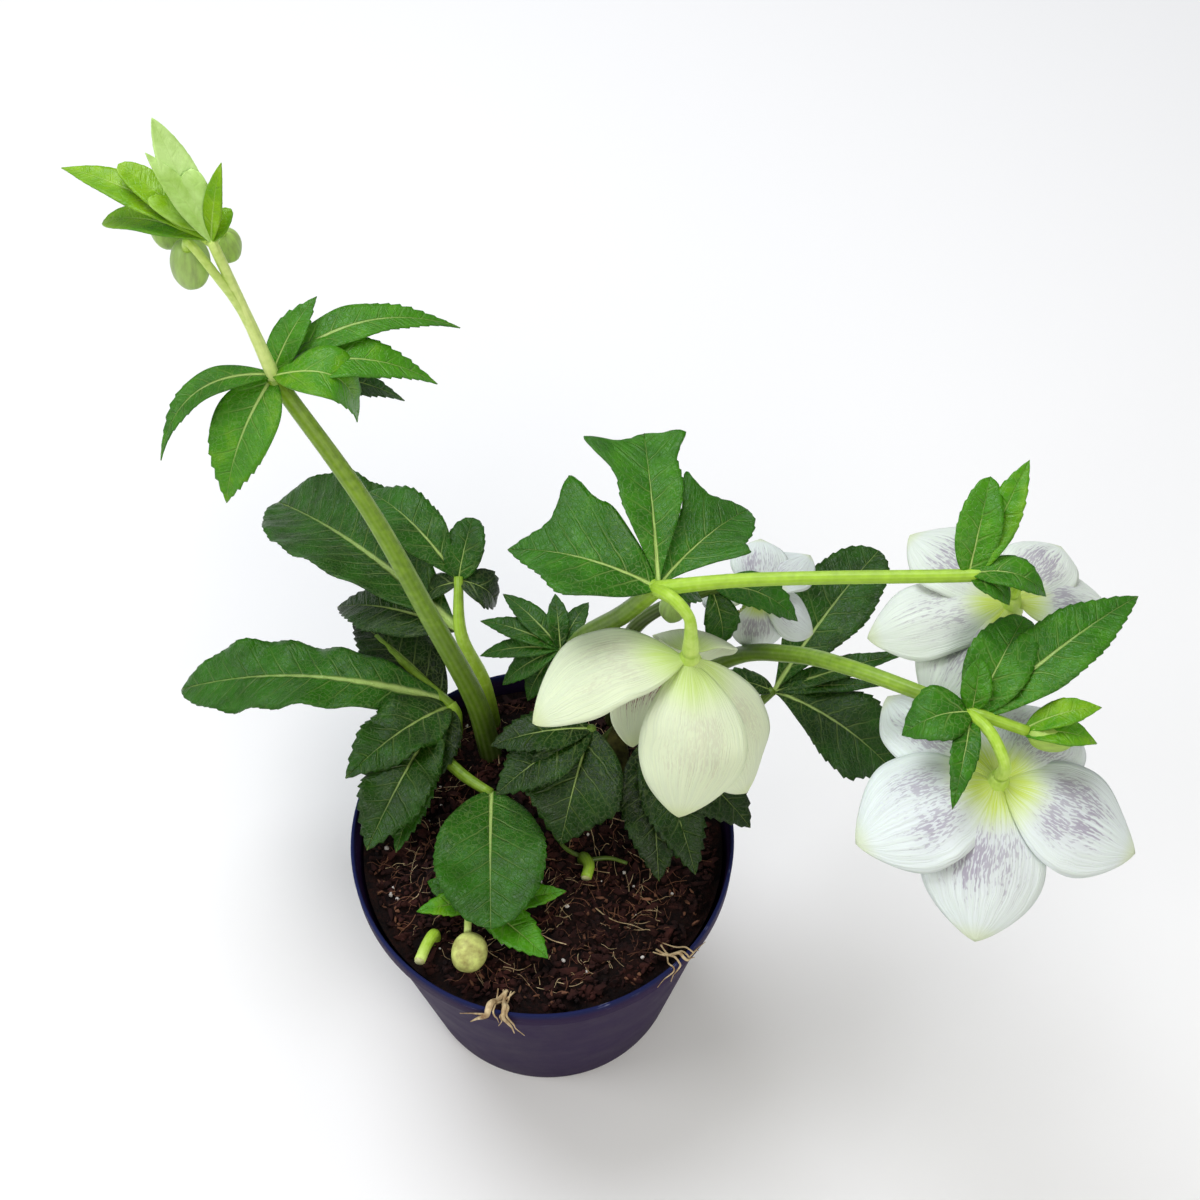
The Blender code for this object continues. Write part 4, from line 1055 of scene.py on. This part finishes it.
# %% Loose crumbs, perlite and roots
def rough_grain(sides, rings, stretch, rough, skin):
    """One rough grain, to be copied."""
    bpy.ops.object.select_all(action="DESELECT")
    bpy.ops.mesh.primitive_uv_sphere_add(segments=sides, ring_count=rings, radius=1.0)
    made = bpy.context.object
    for vert in made.data.vertices:
        vert.co = vert.co * dice.uniform(1 - rough, 1 + rough)
        vert.co.x *= stretch
    made.data.materials.append(skin)
    return made


def scatter(grains, count, sizes, lift, level=False, margin=2.5):
    """Copies of the grains over the compost, as one mesh. The grains are then removed.

    A level copy is only turned about the upright axis, so that it lies on the compost.
    """
    points, faces, total = [], [], 0
    for index in range(count):
        grain = grains[index % len(grains)]
        corners = np.empty(len(grain.data.vertices) * 3)
        grain.data.vertices.foreach_get("co", corners)
        heading = Vector([dice.uniform(-1, 1) for _ in range(3)]).normalized()
        tumbled = Vector((0, 0, 1)).rotation_difference(heading).to_matrix()
        spun = Matrix.Rotation(dice.uniform(0, math.tau), 3, "Z")
        turn = np.array(spun if level else tumbled)
        radius = math.sqrt(dice.random()) * (SOIL_RADIUS - margin)
        angle = dice.uniform(0, math.tau)
        place = (radius * math.cos(angle), radius * math.sin(angle),
                 soil_height(radius) + lift + dice.uniform(-0.6, 0.9))
        points.append(corners.reshape(-1, 3) * dice.uniform(*sizes) @ turn.T + place)
        faces += [[total + v for v in polygon.vertices] for polygon in grain.data.polygons]
        total += len(points[-1])
    made = grains[0].copy()
    made.data = bpy.data.meshes.new("scattered")
    made.data.from_pydata((np.vstack(points) * MM).tolist(), [], faces)
    made.data.materials.append(grains[0].data.materials[0])
    bpy.context.collection.objects.link(made)
    for grain in grains:
        bpy.data.objects.remove(grain, do_unlink=True)
    return made


def wandering_root(length, thickness, skin):
    """A thin root that wanders over the compost from the origin, to be copied."""
    x, y, heading = 0.0, 0.0, 0.0
    points = []
    for _ in range(5):
        points.append((x, y, dice.uniform(-0.5, 1.3)))
        heading += dice.uniform(-0.6, 0.6)
        x += math.cos(heading) * length / 4
        y += math.sin(heading) * length / 4
    made = tube(points, [thickness, 0.7 * thickness, 0.5 * thickness], [0.5, 0.5], skin=skin,
                sides=4, stretch_rows=3)
    made.data.transform(Matrix.Scale(1 / MM, 4))
    return made


crumbs = [rough_grain(5, 3, stretch, 0.45, bark_skin) for stretch in (0.8, 1.0, 1.4, 1.9, 2.8)]
white_grains = [rough_grain(6, 5, 1.2, 0.25, perlite_skin) for _ in range(2)]
chips = [rough_grain(6, 4, stretch, 0.35, coir_skin) for stretch in (1.6, 3.5)]
brown_fibres = [wandering_root(dice.uniform(4, 9), 0.13, coir_skin) for _ in range(12)]
straw_fibres = [wandering_root(dice.uniform(4, 13), 0.15, fibre_skin) for _ in range(12)]
long_roots = [wandering_root(dice.uniform(18, 26), 0.24, fibre_skin) for _ in range(5)]
loose = [soil, scatter(crumbs, 3600, (0.2, 1.25), 0.3), scatter(chips, 300, (0.2, 0.7), 0.8),
         scatter(white_grains, 60, (0.25, 0.8), 0.9),
         scatter(brown_fibres, 520, (0.6, 1.3), 0.9, level=True, margin=8),
         scatter(straw_fibres, 240, (0.4, 1.1), 1.1, level=True, margin=10),
         scatter(long_roots, 9, (0.7, 1.0), 1.3, level=True, margin=24)]
joined("compost_fine", loose, "compost", slot="compost")
bpy.ops.object.shade_smooth_by_angle(angle=math.radians(30))

# %% [markdown]
# Two tufts of pale roots hang over the rim, one at the front and one at the right. Each
# root comes up from the compost, bends over the lip and lies against the wall.

# %% Roots over the rim
def rim_root(bearing, drop, thickness, sway):
    """bearing and sway are in degrees round the pot, drop is how far it hangs in mm."""
    lip = POT_HEIGHT + 0.3 + thickness
    wall = POT_RADIUS + 0.5 + thickness
    stations = ((59, 110.4, -0.6), (64, 112.6, -0.3), (POT_RADIUS - 2.5, lip - 0.8, 0.0),
                (POT_RADIUS, lip, 0.05), (wall, lip - 1.6, 0.1), (wall, lip - 0.45 * drop, 0.4),
                (wall - 0.4, lip - 0.75 * drop, 0.6), (wall + 0.3, lip - drop, 1.0))
    points = []
    for radius, height, share in stations:
        angle = math.radians(bearing + sway * share + dice.uniform(-0.4, 0.4))
        points.append((radius * math.cos(angle), radius * math.sin(angle), height))
    return tube(points, [0.6 * thickness, thickness, thickness, 0.6 * thickness, 0.12],
                [0.5, 0.5], skin=fibre_skin, sides=7, bumps=0.15)


front_roots = [rim_root(-104.5, 12, 1.15, -5), rim_root(-104, 9, 0.5, -9),
               rim_root(-100, 14, 0.85, 3), rim_root(-100.5, 10, 0.4, -1),
               rim_root(-99.5, 16, 0.45, 5), rim_root(-103, 7, 0.35, 2)]
right_roots = [rim_root(-44, 6, 0.6, 4), rim_root(-46, 8, 0.4, -4), rim_root(-43, 5, 0.35, 8),
               rim_root(-48, 4, 0.3, -7), rim_root(-41, 5, 0.3, 3)]
joined("roots_over_front_rim", front_roots, slot="compost")
joined("roots_over_right_rim", right_roots, slot="compost")
